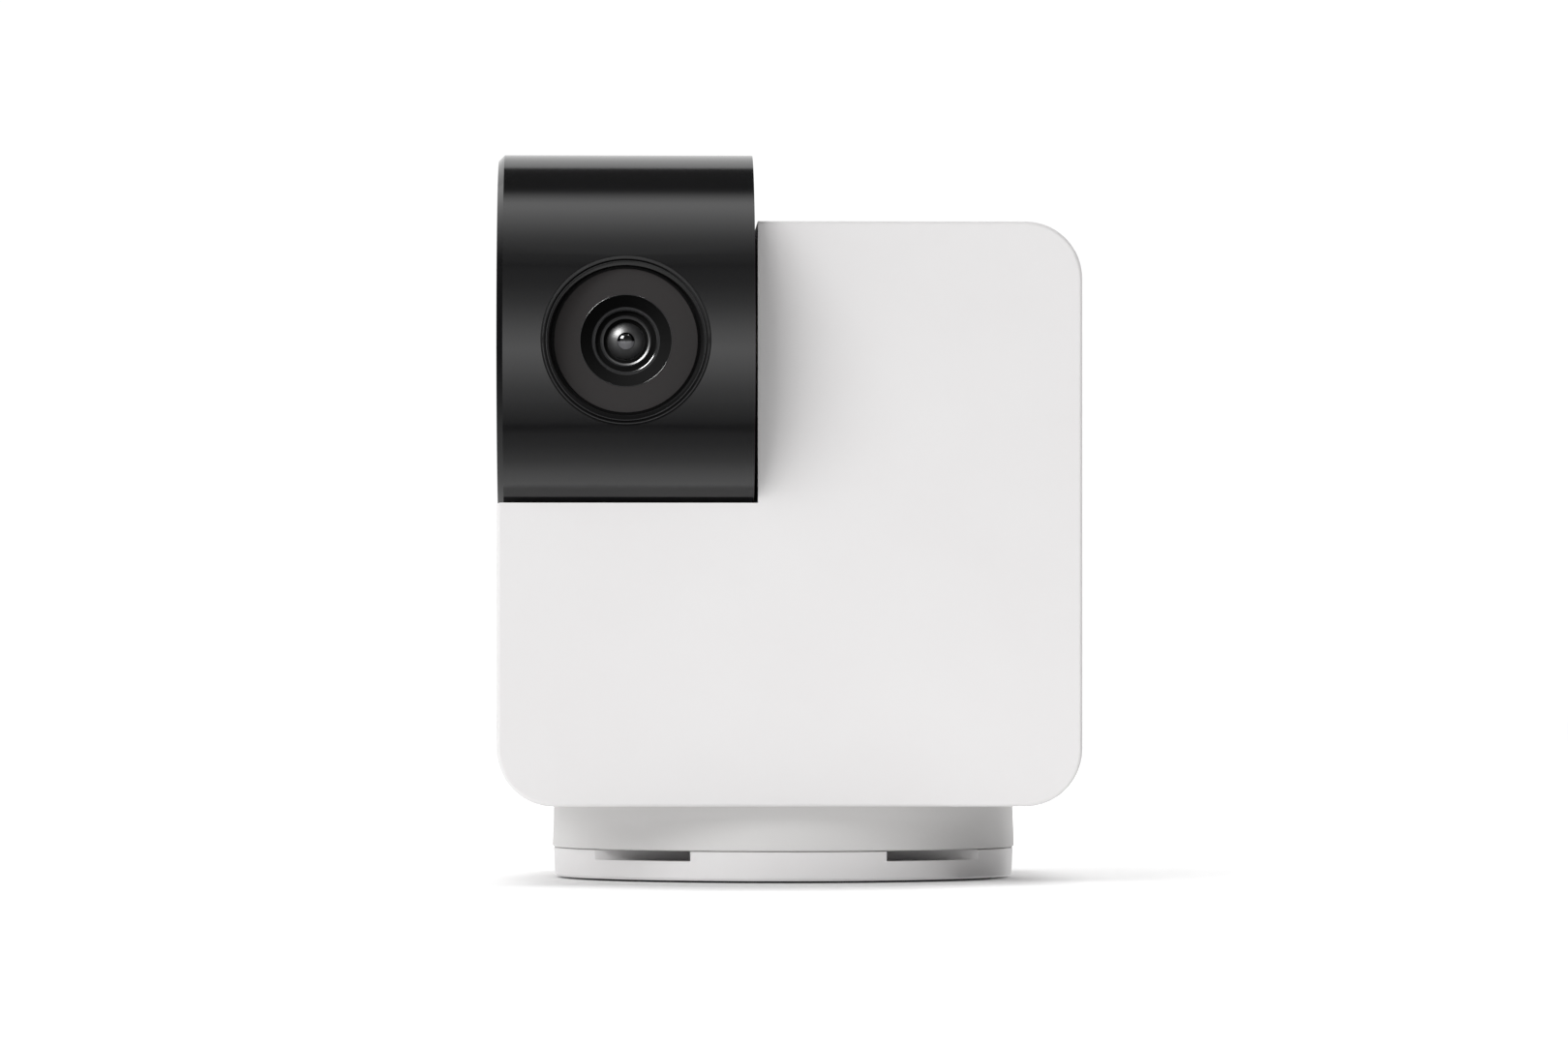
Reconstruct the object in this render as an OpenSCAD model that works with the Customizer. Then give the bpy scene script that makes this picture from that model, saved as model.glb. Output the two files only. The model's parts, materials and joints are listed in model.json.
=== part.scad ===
// Pan and tilt pet camera: a boxy body that turns on a round base, with a black barrel-shaped
// camera head that tilts in a round pocket at the body's upper left edge.
// Millimetres. The origin is on the turning axis, on the surface that the base stands on.
// +Z is up, the front faces -Y, and the head is on the -X side.

/* [Body] */
// Width of the body across its front face
body_w = 77; // [74:0.5:90]
// Depth of the body from the front face to the rear cover
body_d = 70; // [68:0.5:84]
// Height of the body from its underside to its top
body_h = 77; // [76:0.5:90]
// Radius of the body's four corners, seen from the front
body_corner_r = 7.5; // [5:0.1:10]
// Radius of the fine rounding around the front and rear faces
body_edge_r = 0.5; // [0.3:0.1:0.9]
// Thickness of the body's walls
body_wall = 2; // [1.6:0.1:2.4]
// Thickness of the body's floor
floor_t = 2.4; // [2.2:0.1:3]
// Width of the ledge that the rear cover sits in
rabbet_w = 1; // [0.8:0.1:1.2]
// Thickness of the rear cover
cover_t = 2; // [1.8:0.1:2.6]
// Clearance round the rear cover
cover_gap = 0.1; // [0.05:0.05:0.25]
// Height of the rear cover's inner lip
cover_lip_h = 1.8; // [1:0.1:3]
// Thickness of the rear cover's inner lip
cover_lip_t = 1.2; // [1:0.1:1.6]

/* [Camera head] */
// Outer radius of the head
head_r = 25.8; // [25:0.1:27]
// Length of the head along its tilt axis
head_len = 33.7; // [32:0.1:35]
// Distance of the tilt axis behind the front face
axis_back = 15.9; // [15:0.1:17]
// Distance of the tilt axis below the body's top
axis_drop = 16.1; // [15:0.1:18]
// Clearance between the head and its pocket
head_gap = 0.5; // [0.3:0.05:0.8]
// Clearance between the head's inner end and the pocket's end wall
head_end_gap = 0.5; // [0.3:0.05:0.8]
// Distance from the body's side to the head's outer end
head_side_gap = 0.1; // [0:0.05:0.5]
// Thickness of the head's round wall
head_wall = 1.8; // [1.5:0.1:2.2]
// Thickness of the head's inner end wall
head_end_wall = 2; // [1.6:0.1:2.6]
// Chamfer around the head's outer end
head_chamfer = 0.8; // [0.4:0.1:1.2]
// Depth of the end cap's collar inside the head
cap_collar_h = 2; // [1.5:0.1:3]

/* [Lens] */
// Radius of the round opening in the head
bezel_r = 11.1; // [10.9:0.05:11.4]
// Width of the bezel's flush outer lip
bezel_lip_w = 0.4; // [0.3:0.05:0.6]
// Depth of the bezel's inner lip below the outer one
bezel_step = 0.35; // [0.2:0.05:0.5]
// Radius of the face window
face_r = 9.35; // [9.2:0.05:9.5]
// Open gap between the face window and the bezel
face_gap = 0.4; // [0.2:0.05:0.5]
// Radius of the face window's central hole
window_hole_r = 6; // [5.8:0.05:6.2]
// Thickness of the face window
window_t = 1.2; // [0.8:0.1:1.4]
// Depth of the face window's front behind the front of the head
window_depth = 2.9; // [2.6:0.1:3.4]
// Thickness of the ledge under the face window
bezel_ledge_t = 1; // [0.8:0.1:1.2]
// Depth of the lens hood's dish
dish_depth = 1.2; // [1:0.05:1.4]
// Middle radius of the lens hood's outer bead
outer_bead_r = 4.2; // [4.1:0.05:4.4]
// Middle radius of the lens hood's inner bead
inner_bead_r = 3.09; // [3:0.03:3.2]
// Thickness of the lens hood's beads
bead_t = 0.4; // [0.3:0.05:0.5]
// Radius of the lens barrel's domed nose
nose_r = 2.35; // [2.2:0.05:2.5]
// Height of the lens barrel's domed nose
nose_h = 1; // [0.8:0.1:1.2]
// Radius of the front lens
front_lens_r = 1.1; // [0.9:0.05:1.2]
// Height of the front lens's dome
front_lens_dome = 0.5; // [0.3:0.05:0.6]
// Radius of the lens barrel
barrel_r = 6; // [5.8:0.1:6.1]

/* [Base and skirt] */
// Radius of the base at its top edge
base_r = 31.3; // [30:0.1:34]
// Amount by which the base and the skirt narrow away from the turning gap
base_draft = 0.2; // [0:0.05:0.4]
// Height that the rubber ring stands below the base
foot_h = 0.3; // [0.2:0.1:1]
// Height of the base
plate_h = 3.85; // [3.5:0.05:4.5]
// Turning gap between the base and the skirt
seam_gap = 0.1; // [0.06:0.02:0.1]
// Height of the skirt under the body
skirt_h = 5.95; // [5.6:0.05:7]
// Amount by which the skirt is wider than the base
skirt_over = 0.15; // [0:0.05:0.3]
// Thickness of the round walls of the base and the skirt
base_wall = 1.9; // [1.6:0.1:2.2]
// Thickness of the base's floor
plate_floor_t = 1.4; // [1.2:0.1:1.6]
// Thickness of the skirt's deck
deck_t = 1.6; // [1.4:0.1:2]
// Height of the four windows in the base's rim
window_slot_h = 1.3; // [1:0.1:1.5]
// Distance of the rim windows' inner ends from the middle
window_slot_x = 13; // [11:0.5:15]
// Distance from the middle to which the rim windows are cut
window_slot_y = 17.9; // [16:0.1:19]
// Chamfer along the edges of the base and the skirt
base_chamfer = 0.15; // [0.1:0.05:0.4]
// Inner radius of the rubber ring
foot_in_r = 22; // [20:0.5:24]
// Outer radius of the rubber ring
foot_out_r = 28.5; // [26:0.5:29]
// Depth of the rubber ring's groove
foot_groove = 0.4; // [0.3:0.1:0.6]
// Thickness of the ballast ring
ballast_t = 1.6; // [1:0.1:1.8]

/* [Tripod thread] */
// Radius of the thread's core
thread_r = 2.55; // [2.5:0.01:2.6]
// Outer radius of the brass insert
insert_r = 4.2; // [4:0.1:4.5]
// Length of the brass insert
insert_h = 6.4; // [5.5:0.1:7]

/* [Turning and tilting drive] */
// Gear module
gear_module = 0.8; // [0.76:0.02:0.84]
// Teeth on the fixed gear that the body turns around
pan_teeth = 36; // [34:1:38]
// Teeth on the head's gear
tilt_teeth = 32; // [30:1:34]
// Teeth on each motor's pinion
pinion_teeth = 12; // [12:1:13]
// Width of the gears
gear_face = 4; // [3:0.1:4.4]
// Play between meshing teeth
backlash = 0.2; // [0.14:0.02:0.3]
// Radius of the post that the body turns on
post_r = 8; // [7.5:0.1:9]
// Radius of the head's hollow shaft
tilt_shaft_r = 6; // [5.5:0.1:6.5]
// Radius of the hollow shaft's cable passage
tilt_shaft_in_r = 4.2; // [3.8:0.1:4.4]
// Wall of the bearing bushes
bush_wall = 2; // [1.5:0.1:2.4]
// Thickness of the bearing bushes' flanges
bush_flange_t = 0.8; // [0.6:0.1:1.2]
// Width of the bearing bushes' flanges beyond their wall
bush_flange_w = 1.6; // [1:0.1:2]
// Length of the head's bearing boss behind the pocket's end wall
tilt_boss_h = 4.2; // [3:0.1:5]
// Room between the turning motor and the side wall
pan_motor_gap = 0.6; // [0.5:0.05:0.8]
// Direction of the tilt motor from the tilt axis, in degrees
tilt_motor_angle = -12; // [-14:1:-10]

/* [Motors] */
// Radius of the motors
motor_r = 12; // [11.5:0.1:12.4]
// Length of the motors
motor_h = 19; // [17:0.5:20]
// Offset of the motors' shafts from their middle
motor_offset = 7; // [6.5:0.1:7.4]
// Distance between the motors' mounting holes
ear_pitch = 31; // [30:0.5:31.5]
// Radius of the motors' mounting ears
ear_r = 3.4; // [3.1:0.1:3.5]
// Thickness of the motors' mounting ears
ear_t = 0.8; // [0.6:0.1:1.2]
// Radius of the boss round each motor's shaft
motor_boss_r = 4.5; // [4:0.1:4.6]
// Height of the boss round each motor's shaft
motor_boss_h = 1.5; // [1:0.1:2]
// Radius of the motors' shafts
shaft_r = 2.5; // [2:0.1:2.6]
// Width across the flats of the motors' shafts
shaft_flats = 3; // [2.4:0.1:3.4]

/* [Electronics] */
// Thickness of the circuit boards
board_t = 1.4; // [1:0.1:1.6]
// Height of the main board's standoffs
main_board_stand = 2; // [1.6:0.1:2.4]
// Height of the loudspeaker above the body's middle
speaker_rise = 7.5; // [4:0.5:10]
// Radius of the loudspeaker
speaker_r = 14; // [12:0.5:15]
// Depth of the loudspeaker
speaker_h = 7; // [5:0.5:8]
// Radius of each loudspeaker hole in the rear cover
grille_hole_r = 0.7; // [0.5:0.05:0.8]
// Distance between the loudspeaker holes' rings
grille_pitch = 2.6; // [2.4:0.1:3]
// Number of rings of loudspeaker holes
grille_rings = 4; // [2:1:4]
// Width of the power inlet's metal shell
usb_w = 8.9; // [8.8:0.05:9.1]
// Height of the power inlet's metal shell
usb_h = 3.2; // [3.1:0.05:3.4]
// Length of the power inlet's metal shell
usb_l = 7.4; // [6.5:0.1:8]
// Clearance between the power inlet and the rear cover's opening
usb_gap = 0.5; // [0.3:0.05:0.8]
// Distance of the reset button from the body's middle
button_x = 12; // [10:0.5:14]
// Radius of the reset button
button_r = 2; // [1.6:0.1:2.4]
// Travel of the reset button
button_travel = 0.5; // [0.3:0.1:0.6]

/* [Fasteners and fits] */
// Radius of the small screws' shanks
screw_r = 0.95; // [0.8:0.05:1]
// Radius of the small screws' heads
screw_head_r = 1.8; // [1.6:0.1:2]
// Height of the small screws' heads
screw_head_h = 1.2; // [1:0.1:1.4]
// Width of the cross recess in the screws' heads
screw_slot = 0.45; // [0.3:0.05:0.6]
// Wall of the moulded posts round the screws
screw_wall = 1.6; // [1.4:0.1:2]
// Clearance of parts that are pressed or glued together
fit_gap = 0.05; // [0.02:0.01:0.1]
// Clearance of a shaft that turns in a bush
run_gap = 0.05; // [0.02:0.01:0.09]
// Clearance between parts that pass each other
free_gap = 0.3; // [0.25:0.05:0.4]

/* [Hidden] */
$fn = 96;

// Extra length that lets a cut run clear of the face it opens
cut = 1;
pilot_r = screw_r + fit_gap;
clear_r = screw_r + free_gap;
screw_post_r = screw_r + screw_wall;
head_hole_r = screw_head_r + free_gap;

// Heights of the base and the skirt, from the table up
plate_z0 = foot_h;
plate_z1 = plate_z0 + plate_h;
plate_floor_z = plate_z0 + plate_floor_t;
skirt_z0 = plate_z1 + seam_gap;
body_z0 = skirt_z0 + skirt_h;
deck_z0 = body_z0 - deck_t;
body_z1 = body_z0 + body_h;
floor_z1 = body_z0 + floor_t;
base_in_r = base_r - base_wall;
skirt_r = base_r + skirt_over;
skirt_in_r = skirt_r - base_wall;

// Tripod thread, and the boss that holds it
tripod_boss_r = insert_r + 1;
tripod_boss_z1 = insert_h + 0.6;

// The post that the body turns on, its bearing and the fixed gear on its top
pan_bush_r = post_r + run_gap + bush_wall;
pan_flange_r = pan_bush_r + bush_flange_w;
pan_flange_z1 = floor_z1 + bush_flange_t;
pan_gear_z0 = pan_flange_z1 + free_gap;
pan_gear_z1 = pan_gear_z0 + gear_face;
post_seat_h = 1.5;
post_z1 = pan_gear_z0 + post_seat_h;
washer_t = 0.3;
washer_gap = 0.1;
hub_r = pan_bush_r + 2.4;
hub_z0 = plate_z1 - 0.5;
hub_z1 = deck_z0 - washer_gap - washer_t;
gear_screw_ring_r = 5;
gear_screw_angles = [0, 120, 240];
gear_screw_l = 6.5;
base_screw_ring_r = tripod_boss_r + 4;
base_screw_angles = [30, 150, 270];
base_screw_l = 5;
skirt_screw_ring_r = base_r - 5.8;
skirt_screw_angles = [45, 135, 225, 300];
skirt_screw_l = 6;

// A pin at the back of the base and a rib at the front of the skirt stop the body's turn
stop_ring_r = base_r - 10.8;
stop_pin_r = 1.2;
stop_rib_w = 3.8;
stop_rib_d = 4.4;
stop_rib_h = 3.2;
ballast_in_r = hub_r + 1;
window_wall = 1.2;
ballast_out_r = base_in_r - 2.6;

// Tilt axis and the pocket that the head lies in
front_y = -body_d / 2;
rear_y = body_d / 2;
axis_y = front_y + axis_back;
axis_z = body_z1 - axis_drop;
head_x0 = -body_w / 2 + head_side_gap;
head_x1 = head_x0 + head_len;
notch_x = head_x1 + head_end_gap;
notch_x1 = notch_x + body_wall;
pocket_r = head_r + head_gap;
lens_x = (head_x0 + head_x1) / 2;
head_in_r = head_r - head_wall;

// Gears
pan_centre = gear_module * (pan_teeth + pinion_teeth) / 2;
tilt_centre = gear_module * (tilt_teeth + pinion_teeth) / 2;
pressure_angle = 20;
addendum = 0.8;
dedendum = 1.05;
flank_steps = 4;

// Places along the tilt axis
tilt_bush_r = tilt_shaft_r + run_gap + bush_wall;
tilt_boss_r = tilt_bush_r + 2;
tilt_boss_x1 = notch_x1 + tilt_boss_h;
tilt_flange_x1 = tilt_boss_x1 + bush_flange_t;
tilt_gear_x0 = tilt_flange_x1 + free_gap;
tilt_gear_x1 = tilt_gear_x0 + gear_face;
clip_t = 0.8;
clip_groove = 0.7;
clip_w = 2;
clip_slot = 6;
tilt_shaft_x1 = tilt_gear_x1 + clip_t + 1;
tilt_plate_r = 11;
tilt_plate_t = 1.5;
tilt_plate_x0 = head_x1 - head_end_wall - tilt_plate_t;
tilt_screw_ring_r = 8.6;
tilt_screw_angles = [90, 210, 330];
tilt_screw_l = tilt_plate_t + head_end_wall - 0.2;

// Motors: a pinion lies this far in front of its motor's face
motor_stand = motor_boss_h + 0.5;
motor_bore_h = 3;
motor_edge = 0.6;
lead_cover_w = 12;
lead_cover_h = 9;
lead_cover_out = 2.2;
ear_post_r = screw_post_r + 0.6;
ear_screw_l = 5;
pan_motor_z = pan_gear_z1 + motor_stand;
cavity_x = body_w / 2 - body_wall;
pan_shaft_x = cavity_x - pan_motor_gap - lead_cover_out - motor_r - motor_offset;
pan_motor_angle = -acos(pan_shaft_x / pan_centre);
pan_shaft_y = pan_centre * sin(pan_motor_angle);
pan_motor_x = pan_shaft_x + motor_offset;
tilt_motor_x = tilt_gear_x1 + motor_stand;
tilt_motor_reach = tilt_centre + motor_offset;
tilt_motor_y = axis_y + tilt_motor_reach * cos(tilt_motor_angle);
tilt_motor_z = axis_z + tilt_motor_reach * sin(tilt_motor_angle);
// The pocket's end wall is widened into a bulkhead that carries the tilt motor
bulkhead_r = norm([tilt_motor_reach, ear_pitch / 2]) + ear_post_r + 0.4;

// Rear cover, its screws and what it carries
cover_y0 = rear_y - cover_t;
cavity_z1 = body_z1 - body_wall;
rear_post_r = screw_post_r + 0.8;
rear_post_l = 11;
rear_post_inset = rear_post_r - 0.4;
rear_post_x = cavity_x - rear_post_inset;
rear_post_low = floor_z1 + rear_post_inset;
rear_post_high = cavity_z1 - rear_post_inset;
rear_screw_l = 7;
rear_head_sink = screw_head_h + 0.2;
speaker_x = 0;
speaker_z = body_z0 + body_h / 2 + speaker_rise;
gasket_t = 1;
gasket_w = 2.5;
speaker_rim_h = 1.5;
speaker_magnet_r = 8;
speaker_wall_t = 1.2;
antenna_w = 30;
antenna_h = 7;
antenna_t = 0.4;

// Power board on the floor behind the turning gear
power_board_w = 32;
power_board_d = 12;
button_flange_t = 0.9;
button_back_y = cover_y0 - fit_gap - button_flange_t;
power_board_y1 = button_back_y - button_travel - free_gap;
power_board_y0 = power_board_y1 - power_board_d;
power_board_z0 = floor_z1 + 5.6;
power_board_z1 = power_board_z0 + board_t;
power_post_x = 12.5;
power_post_y = power_board_y0 + 3;
power_screw_l = 5;
usb_y1 = rear_y - 0.8;
usb_z = power_board_z1 + usb_h / 2;
usb_shell_t = 0.3;
usb_tongue_h = 0.7;
switch_h = 3.4;
switch_w = 6;
switch_d = 3.6;
button_z = power_board_z1 + switch_h / 2;
button_flange_r = button_r + 0.8;
button_proud = 0.4;
plunger_r = 1;
plunger_y1 = button_back_y - button_travel - 0.1;
switch_y1 = plunger_y1 - 0.8;
microphone_w = 3.8;
microphone_d = 3;
microphone_h = 1.1;
microphone_hole_r = 0.6;

// Main board behind the front wall, beside the tilt drive and above the turning motor
main_board_gap = 2.2;
main_board_x0 = tilt_shaft_x1 + main_board_gap;
main_board_x1 = cavity_x - main_board_gap;
main_board_y0 = front_y + body_wall + main_board_stand;
main_board_y1 = main_board_y0 + board_t;
main_board_z0 = pan_motor_z + motor_h + main_board_gap;
main_board_z1 = cavity_z1 - main_board_gap;
main_board_inset = 3.5;
main_screw_l = board_t + main_board_stand;
// Width, height and thickness of the components on the main board
processor_size = [9, 9, 1.4];
memory_size = [10, 6, 2];
radio_size = [5, 6, 1.1];
sound_size = [5, 5, 1.6];
plug_size = [6, 4, 2.8];

// Places along the lens axis, counted forwards from the tilt axis
window_u1 = head_r - window_depth;
window_u0 = window_u1 - window_t;
bezel_out_r = bezel_r - fit_gap;
bezel_in_r = face_r + face_gap;
bezel_ledge_r = face_r - 0.65;
bezel_ledge_u0 = window_u0 - bezel_ledge_t;
bezel_flare = 0.14;
led_u0 = window_u1 - 4;
led_board_u0 = led_u0 - 1;
led_h = led_u0 < bezel_ledge_u0 ? bezel_ledge_u0 - led_u0 - 0.2 : 1;
led_r = 1.3;
led_count = 8;
led_board_out_r = bezel_r + 0.3;
led_board_in_r = barrel_r + 0.5;
hood_out_r = window_hole_r + 0.15;
led_ring_r = (hood_out_r + bezel_in_r) / 2;
hood_rim_r = window_hole_r - fit_gap;
hood_u0 = led_u0 + 0.6;
hood_u1 = window_u1 - 0.1;
hood_hole_r = nose_r + 0.15;
hood_step_u = hood_u1 - dish_depth;
hood_floor_u = hood_step_u - bead_t;
hood_well_u = hood_floor_u - bead_t;
barrel_u1 = hood_u0;
nose_u = hood_well_u;
nose_top_u = nose_u + nose_h;
front_lens_drop = 0.25;
lens_seat_h = 0.6;
sensor_board_u0 = 0;
sensor_board_u1 = sensor_board_u0 + board_t;
sensor_board_w = 22;
sensor_board_h = 28;
sensor_post_x = 8.6;
sensor_post_z = 11.2;
sensor_screw_l = 6;
sensor_w = 6.4;
sensor_h = 1.1;
holder_w = 13;
holder_foot_h = 3;
holder_r = 8;
holder_u1 = 13;
filter_t = 0.6;
filter_r = barrel_r - 0.9;
filter_u0 = sensor_board_u1 + holder_foot_h + 0.9;
barrel_u0 = filter_u0 + filter_t + 0.3;
light_path_r = 3.4;

white_plastic = "#f1efef";
black_plastic = "#141414";
dark_plastic = "#242222";
window_plastic = "#383535";
acetal = "#e6e3d8";
steel = "#a8abae";
brass = "#c2a254";
rubber = "#4a4a4c";
board_green = "#1f5b3a";
board_black = "#20242a";
glass = "#5c6470";

// Plain shapes

module rod(z0, z1, r) {
  translate([0, 0, z0])
    cylinder(h = z1 - z0, r = r);
}

module rod_x(x0, x1, r) {
  translate([x0, 0, 0])
    rotate([0, 90, 0])
      cylinder(h = x1 - x0, r = r);
}

module rod_y(y0, y1, r) {
  translate([0, y1, 0])
    rotate([90, 0, 0])
      cylinder(h = y1 - y0, r = r);
}

module tube(z0, z1, r_out, r_in) {
  difference() {
    rod(z0, z1, r_out);
    rod(z0 - cut, z1 + cut, r_in);
  }
}

module tube_x(x0, x1, r_out, r_in) {
  difference() {
    rod_x(x0, x1, r_out);
    rod_x(x0 - cut, x1 + cut, r_in);
  }
}

module block(x0, x1, y0, y1, z0, z1) {
  translate([x0, y0, z0])
    cube([x1 - x0, y1 - y0, z1 - z0]);
}

module rounded_rect(w, h, r) {
  square([w - 2 * r, h], center = true);
  square([w, h - 2 * r], center = true);
  for (x = [-1, 1])
    for (y = [-1, 1])
      translate([x * (w / 2 - r), y * (h / 2 - r)])
        circle(r = r);
}

// A flat outline drawn in width and height, given its thickness along the depth
module upright(y0, y1) {
  translate([0, y1, 0])
    rotate([90, 0, 0])
      linear_extrude(y1 - y0)
        children();
}

module around(ring_r, angles) {
  for (a = angles)
    rotate([0, 0, a])
      translate([ring_r, 0, 0])
        children();
}

// Local frames

module at_tilt_axis() {
  translate([0, axis_y, axis_z])
    children();
}

// Local +Z runs forwards along the lens axis, local +Y is up
module on_lens_axis() {
  translate([lens_x, axis_y, axis_z])
    rotate([90, 0, 0])
      children();
}

// A motor's frame: its face is at local zero, its shaft points down and lies towards local -X
module at_pan_motor() {
  translate([pan_motor_x, pan_shaft_y, pan_motor_z])
    children();
}

module at_tilt_motor() {
  translate([tilt_motor_x, tilt_motor_y, tilt_motor_z])
    rotate([90, 0, 90])
      rotate([0, 0, tilt_motor_angle])
        children();
}

// Screws: the head sits on local zero and the shank points down

module screw(length) {
  difference() {
    rod(0, screw_head_h, screw_head_r);
    for (turn = [0, 90])
      rotate([0, 0, turn])
        translate([-screw_head_r * 0.6, -screw_slot / 2, screw_head_h * 0.45])
          cube([screw_head_r * 1.2, screw_slot, screw_head_h]);
  }
  rod(-length, 0, screw_r);
}

// Gear teeth: involute flanks on a base circle, radial below it

function pitch_r(teeth) = gear_module * teeth / 2;
function gear_base_r(teeth) = pitch_r(teeth) * cos(pressure_angle);
function unroll(ratio) = sqrt(max(0, ratio * ratio - 1));
function involute_angle(ratio) = unroll(ratio) * 180 / PI - atan(unroll(ratio));
function play_angle(teeth) = backlash / 4 / pitch_r(teeth) * 180 / PI;
function half_tooth(teeth, r) =
  90 / teeth - play_angle(teeth)
  + involute_angle(pitch_r(teeth) / gear_base_r(teeth))
  - involute_angle(r / gear_base_r(teeth));
function flank_r(teeth, i) =
  pitch_r(teeth) + gear_module * (-dedendum + (addendum + dedendum) * i / flank_steps);
function polar(r, a) = [r * cos(a), r * sin(a)];
function tooth_points(teeth, centre) = concat(
  [for (i = [0 : flank_steps])
    polar(flank_r(teeth, i), centre - half_tooth(teeth, flank_r(teeth, i)))],
  [for (i = [flank_steps : -1 : 0])
    polar(flank_r(teeth, i), centre + half_tooth(teeth, flank_r(teeth, i)))]
);

module gear_outline(teeth) {
  polygon([for (k = [0 : teeth - 1]) each tooth_points(teeth, k * 360 / teeth)]);
}

// Base

module foot_ring() {
  color(rubber)
    tube(0, foot_h + foot_groove, foot_out_r, foot_in_r);
}

// Four corner blocks, one for each rim window, that start a wall's thickness inside it
module at_rim_windows(wall, h) {
  x0 = window_slot_x - wall;
  y0 = window_slot_y - wall;
  block_w = base_r + cut - x0;
  block_d = base_r + cut - y0;
  for (x = [-1, 1])
    for (y = [-1, 1])
      translate([x * (x0 + block_w / 2), y * (y0 + block_d / 2), plate_z1])
        cube([block_w, block_d, 2 * h], center = true);
}

// The windows are cut straight back, so they run out where the rim curves away
module rim_slots() {
  at_rim_windows(0, window_slot_h);
}

// Behind each window the rim is filled, so that it ends in a flat wall
module rim_blocks() {
  intersection() {
    rod(plate_floor_z - plate_floor_t / 2, plate_z1, base_in_r + base_wall / 2);
    at_rim_windows(window_wall, plate_h);
  }
}

module base_plate() {
  bottom_r = base_r - base_draft;
  color(white_plastic)
    difference() {
      union() {
        rotate_extrude()
          polygon([
            [0, plate_z0],
            [bottom_r - 2 * base_chamfer, plate_z0],
            [bottom_r, plate_z0 + 2 * base_chamfer],
            [base_r, plate_z1 - base_chamfer],
            [base_r - base_chamfer, plate_z1],
            [base_in_r, plate_z1],
            [base_in_r, plate_floor_z],
            [hub_r, plate_floor_z],
            [hub_r, hub_z0],
            [0, hub_z0]
          ]);
        rim_blocks();
        rod(0, tripod_boss_z1, tripod_boss_r);
        around(stop_ring_r, [90])
          rod(plate_z0 + plate_floor_t / 2, deck_z0 - 2 * free_gap, stop_pin_r);
      }
      rim_slots();
      tube(plate_z0 - cut, plate_z0 + foot_groove, foot_out_r + fit_gap, foot_in_r - fit_gap);
      rod(-cut, insert_h, insert_r + fit_gap);
      around(base_screw_ring_r, base_screw_angles) {
        rod(plate_z0 - cut, plate_floor_z, head_hole_r);
        rod(plate_z0, hub_z0 + cut, clear_r);
      }
    }
}

module tripod_insert() {
  color(brass)
    tube(0, insert_h, insert_r, thread_r);
}

module ballast_ring() {
  color(steel)
    difference() {
      tube(plate_floor_z, plate_floor_z + ballast_t, ballast_out_r, ballast_in_r);
      at_rim_windows(window_wall + free_gap, plate_h);
      around(stop_ring_r, [90])
        rod(0, deck_z0, stop_pin_r + free_gap);
    }
}

module pan_post() {
  color(acetal)
    difference() {
      union() {
        rod(hub_z0, hub_z1, hub_r);
        rod(hub_z0, post_z1, post_r);
      }
      rod(hub_z0 - cut, tripod_boss_z1 + free_gap, tripod_boss_r + fit_gap);
      around(base_screw_ring_r, base_screw_angles)
        rod(hub_z0 - cut, plate_floor_z + base_screw_l + free_gap, pilot_r);
      around(gear_screw_ring_r, gear_screw_angles)
        rod(pan_gear_z1 - gear_screw_l - free_gap, post_z1 + cut, pilot_r);
    }
}

module base_screws() {
  color(steel)
    around(base_screw_ring_r, base_screw_angles)
      translate([0, 0, plate_floor_z])
        rotate([180, 0, 0])
          screw(base_screw_l);
}

module slide_washer() {
  color(white_plastic)
    tube(hub_z1, hub_z1 + washer_t, hub_r, post_r + run_gap);
}

module pan_gear() {
  color(acetal)
    difference() {
      translate([0, 0, pan_gear_z0])
        rotate([0, 0, pan_motor_angle])
          linear_extrude(gear_face)
            gear_outline(pan_teeth);
      rod(pan_gear_z0 - cut, post_z1, post_r + fit_gap);
      around(gear_screw_ring_r, gear_screw_angles)
        rod(pan_gear_z0, pan_gear_z1 + cut, clear_r);
    }
}

module pan_gear_screws() {
  color(steel)
    around(gear_screw_ring_r, gear_screw_angles)
      translate([0, 0, pan_gear_z1])
        screw(gear_screw_l);
}

module neck_skirt() {
  top_r = skirt_r - base_draft;
  color(white_plastic)
    difference() {
      union() {
        rotate_extrude()
          polygon([
            [skirt_in_r, skirt_z0],
            [skirt_r - base_chamfer, skirt_z0],
            [skirt_r, skirt_z0 + base_chamfer],
            [top_r, body_z0],
            [pan_bush_r, body_z0],
            [pan_bush_r, deck_z0],
            [skirt_in_r, deck_z0]
          ]);
        around(skirt_screw_ring_r, skirt_screw_angles)
          rod(floor_z1 - skirt_screw_l - 2 * free_gap, deck_z0 + deck_t / 2, screw_post_r);
        around(stop_ring_r, [-90])
          translate([-stop_rib_d / 2, -stop_rib_w / 2, deck_z0 - stop_rib_h])
            cube([stop_rib_d, stop_rib_w, stop_rib_h + deck_t / 2]);
      }
      around(skirt_screw_ring_r, skirt_screw_angles)
        rod(floor_z1 - skirt_screw_l, body_z0 + cut, pilot_r);
    }
}

module skirt_screws() {
  color(steel)
    around(skirt_screw_ring_r, skirt_screw_angles)
      translate([0, 0, floor_z1])
        screw(skirt_screw_l);
}

// Body

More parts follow.
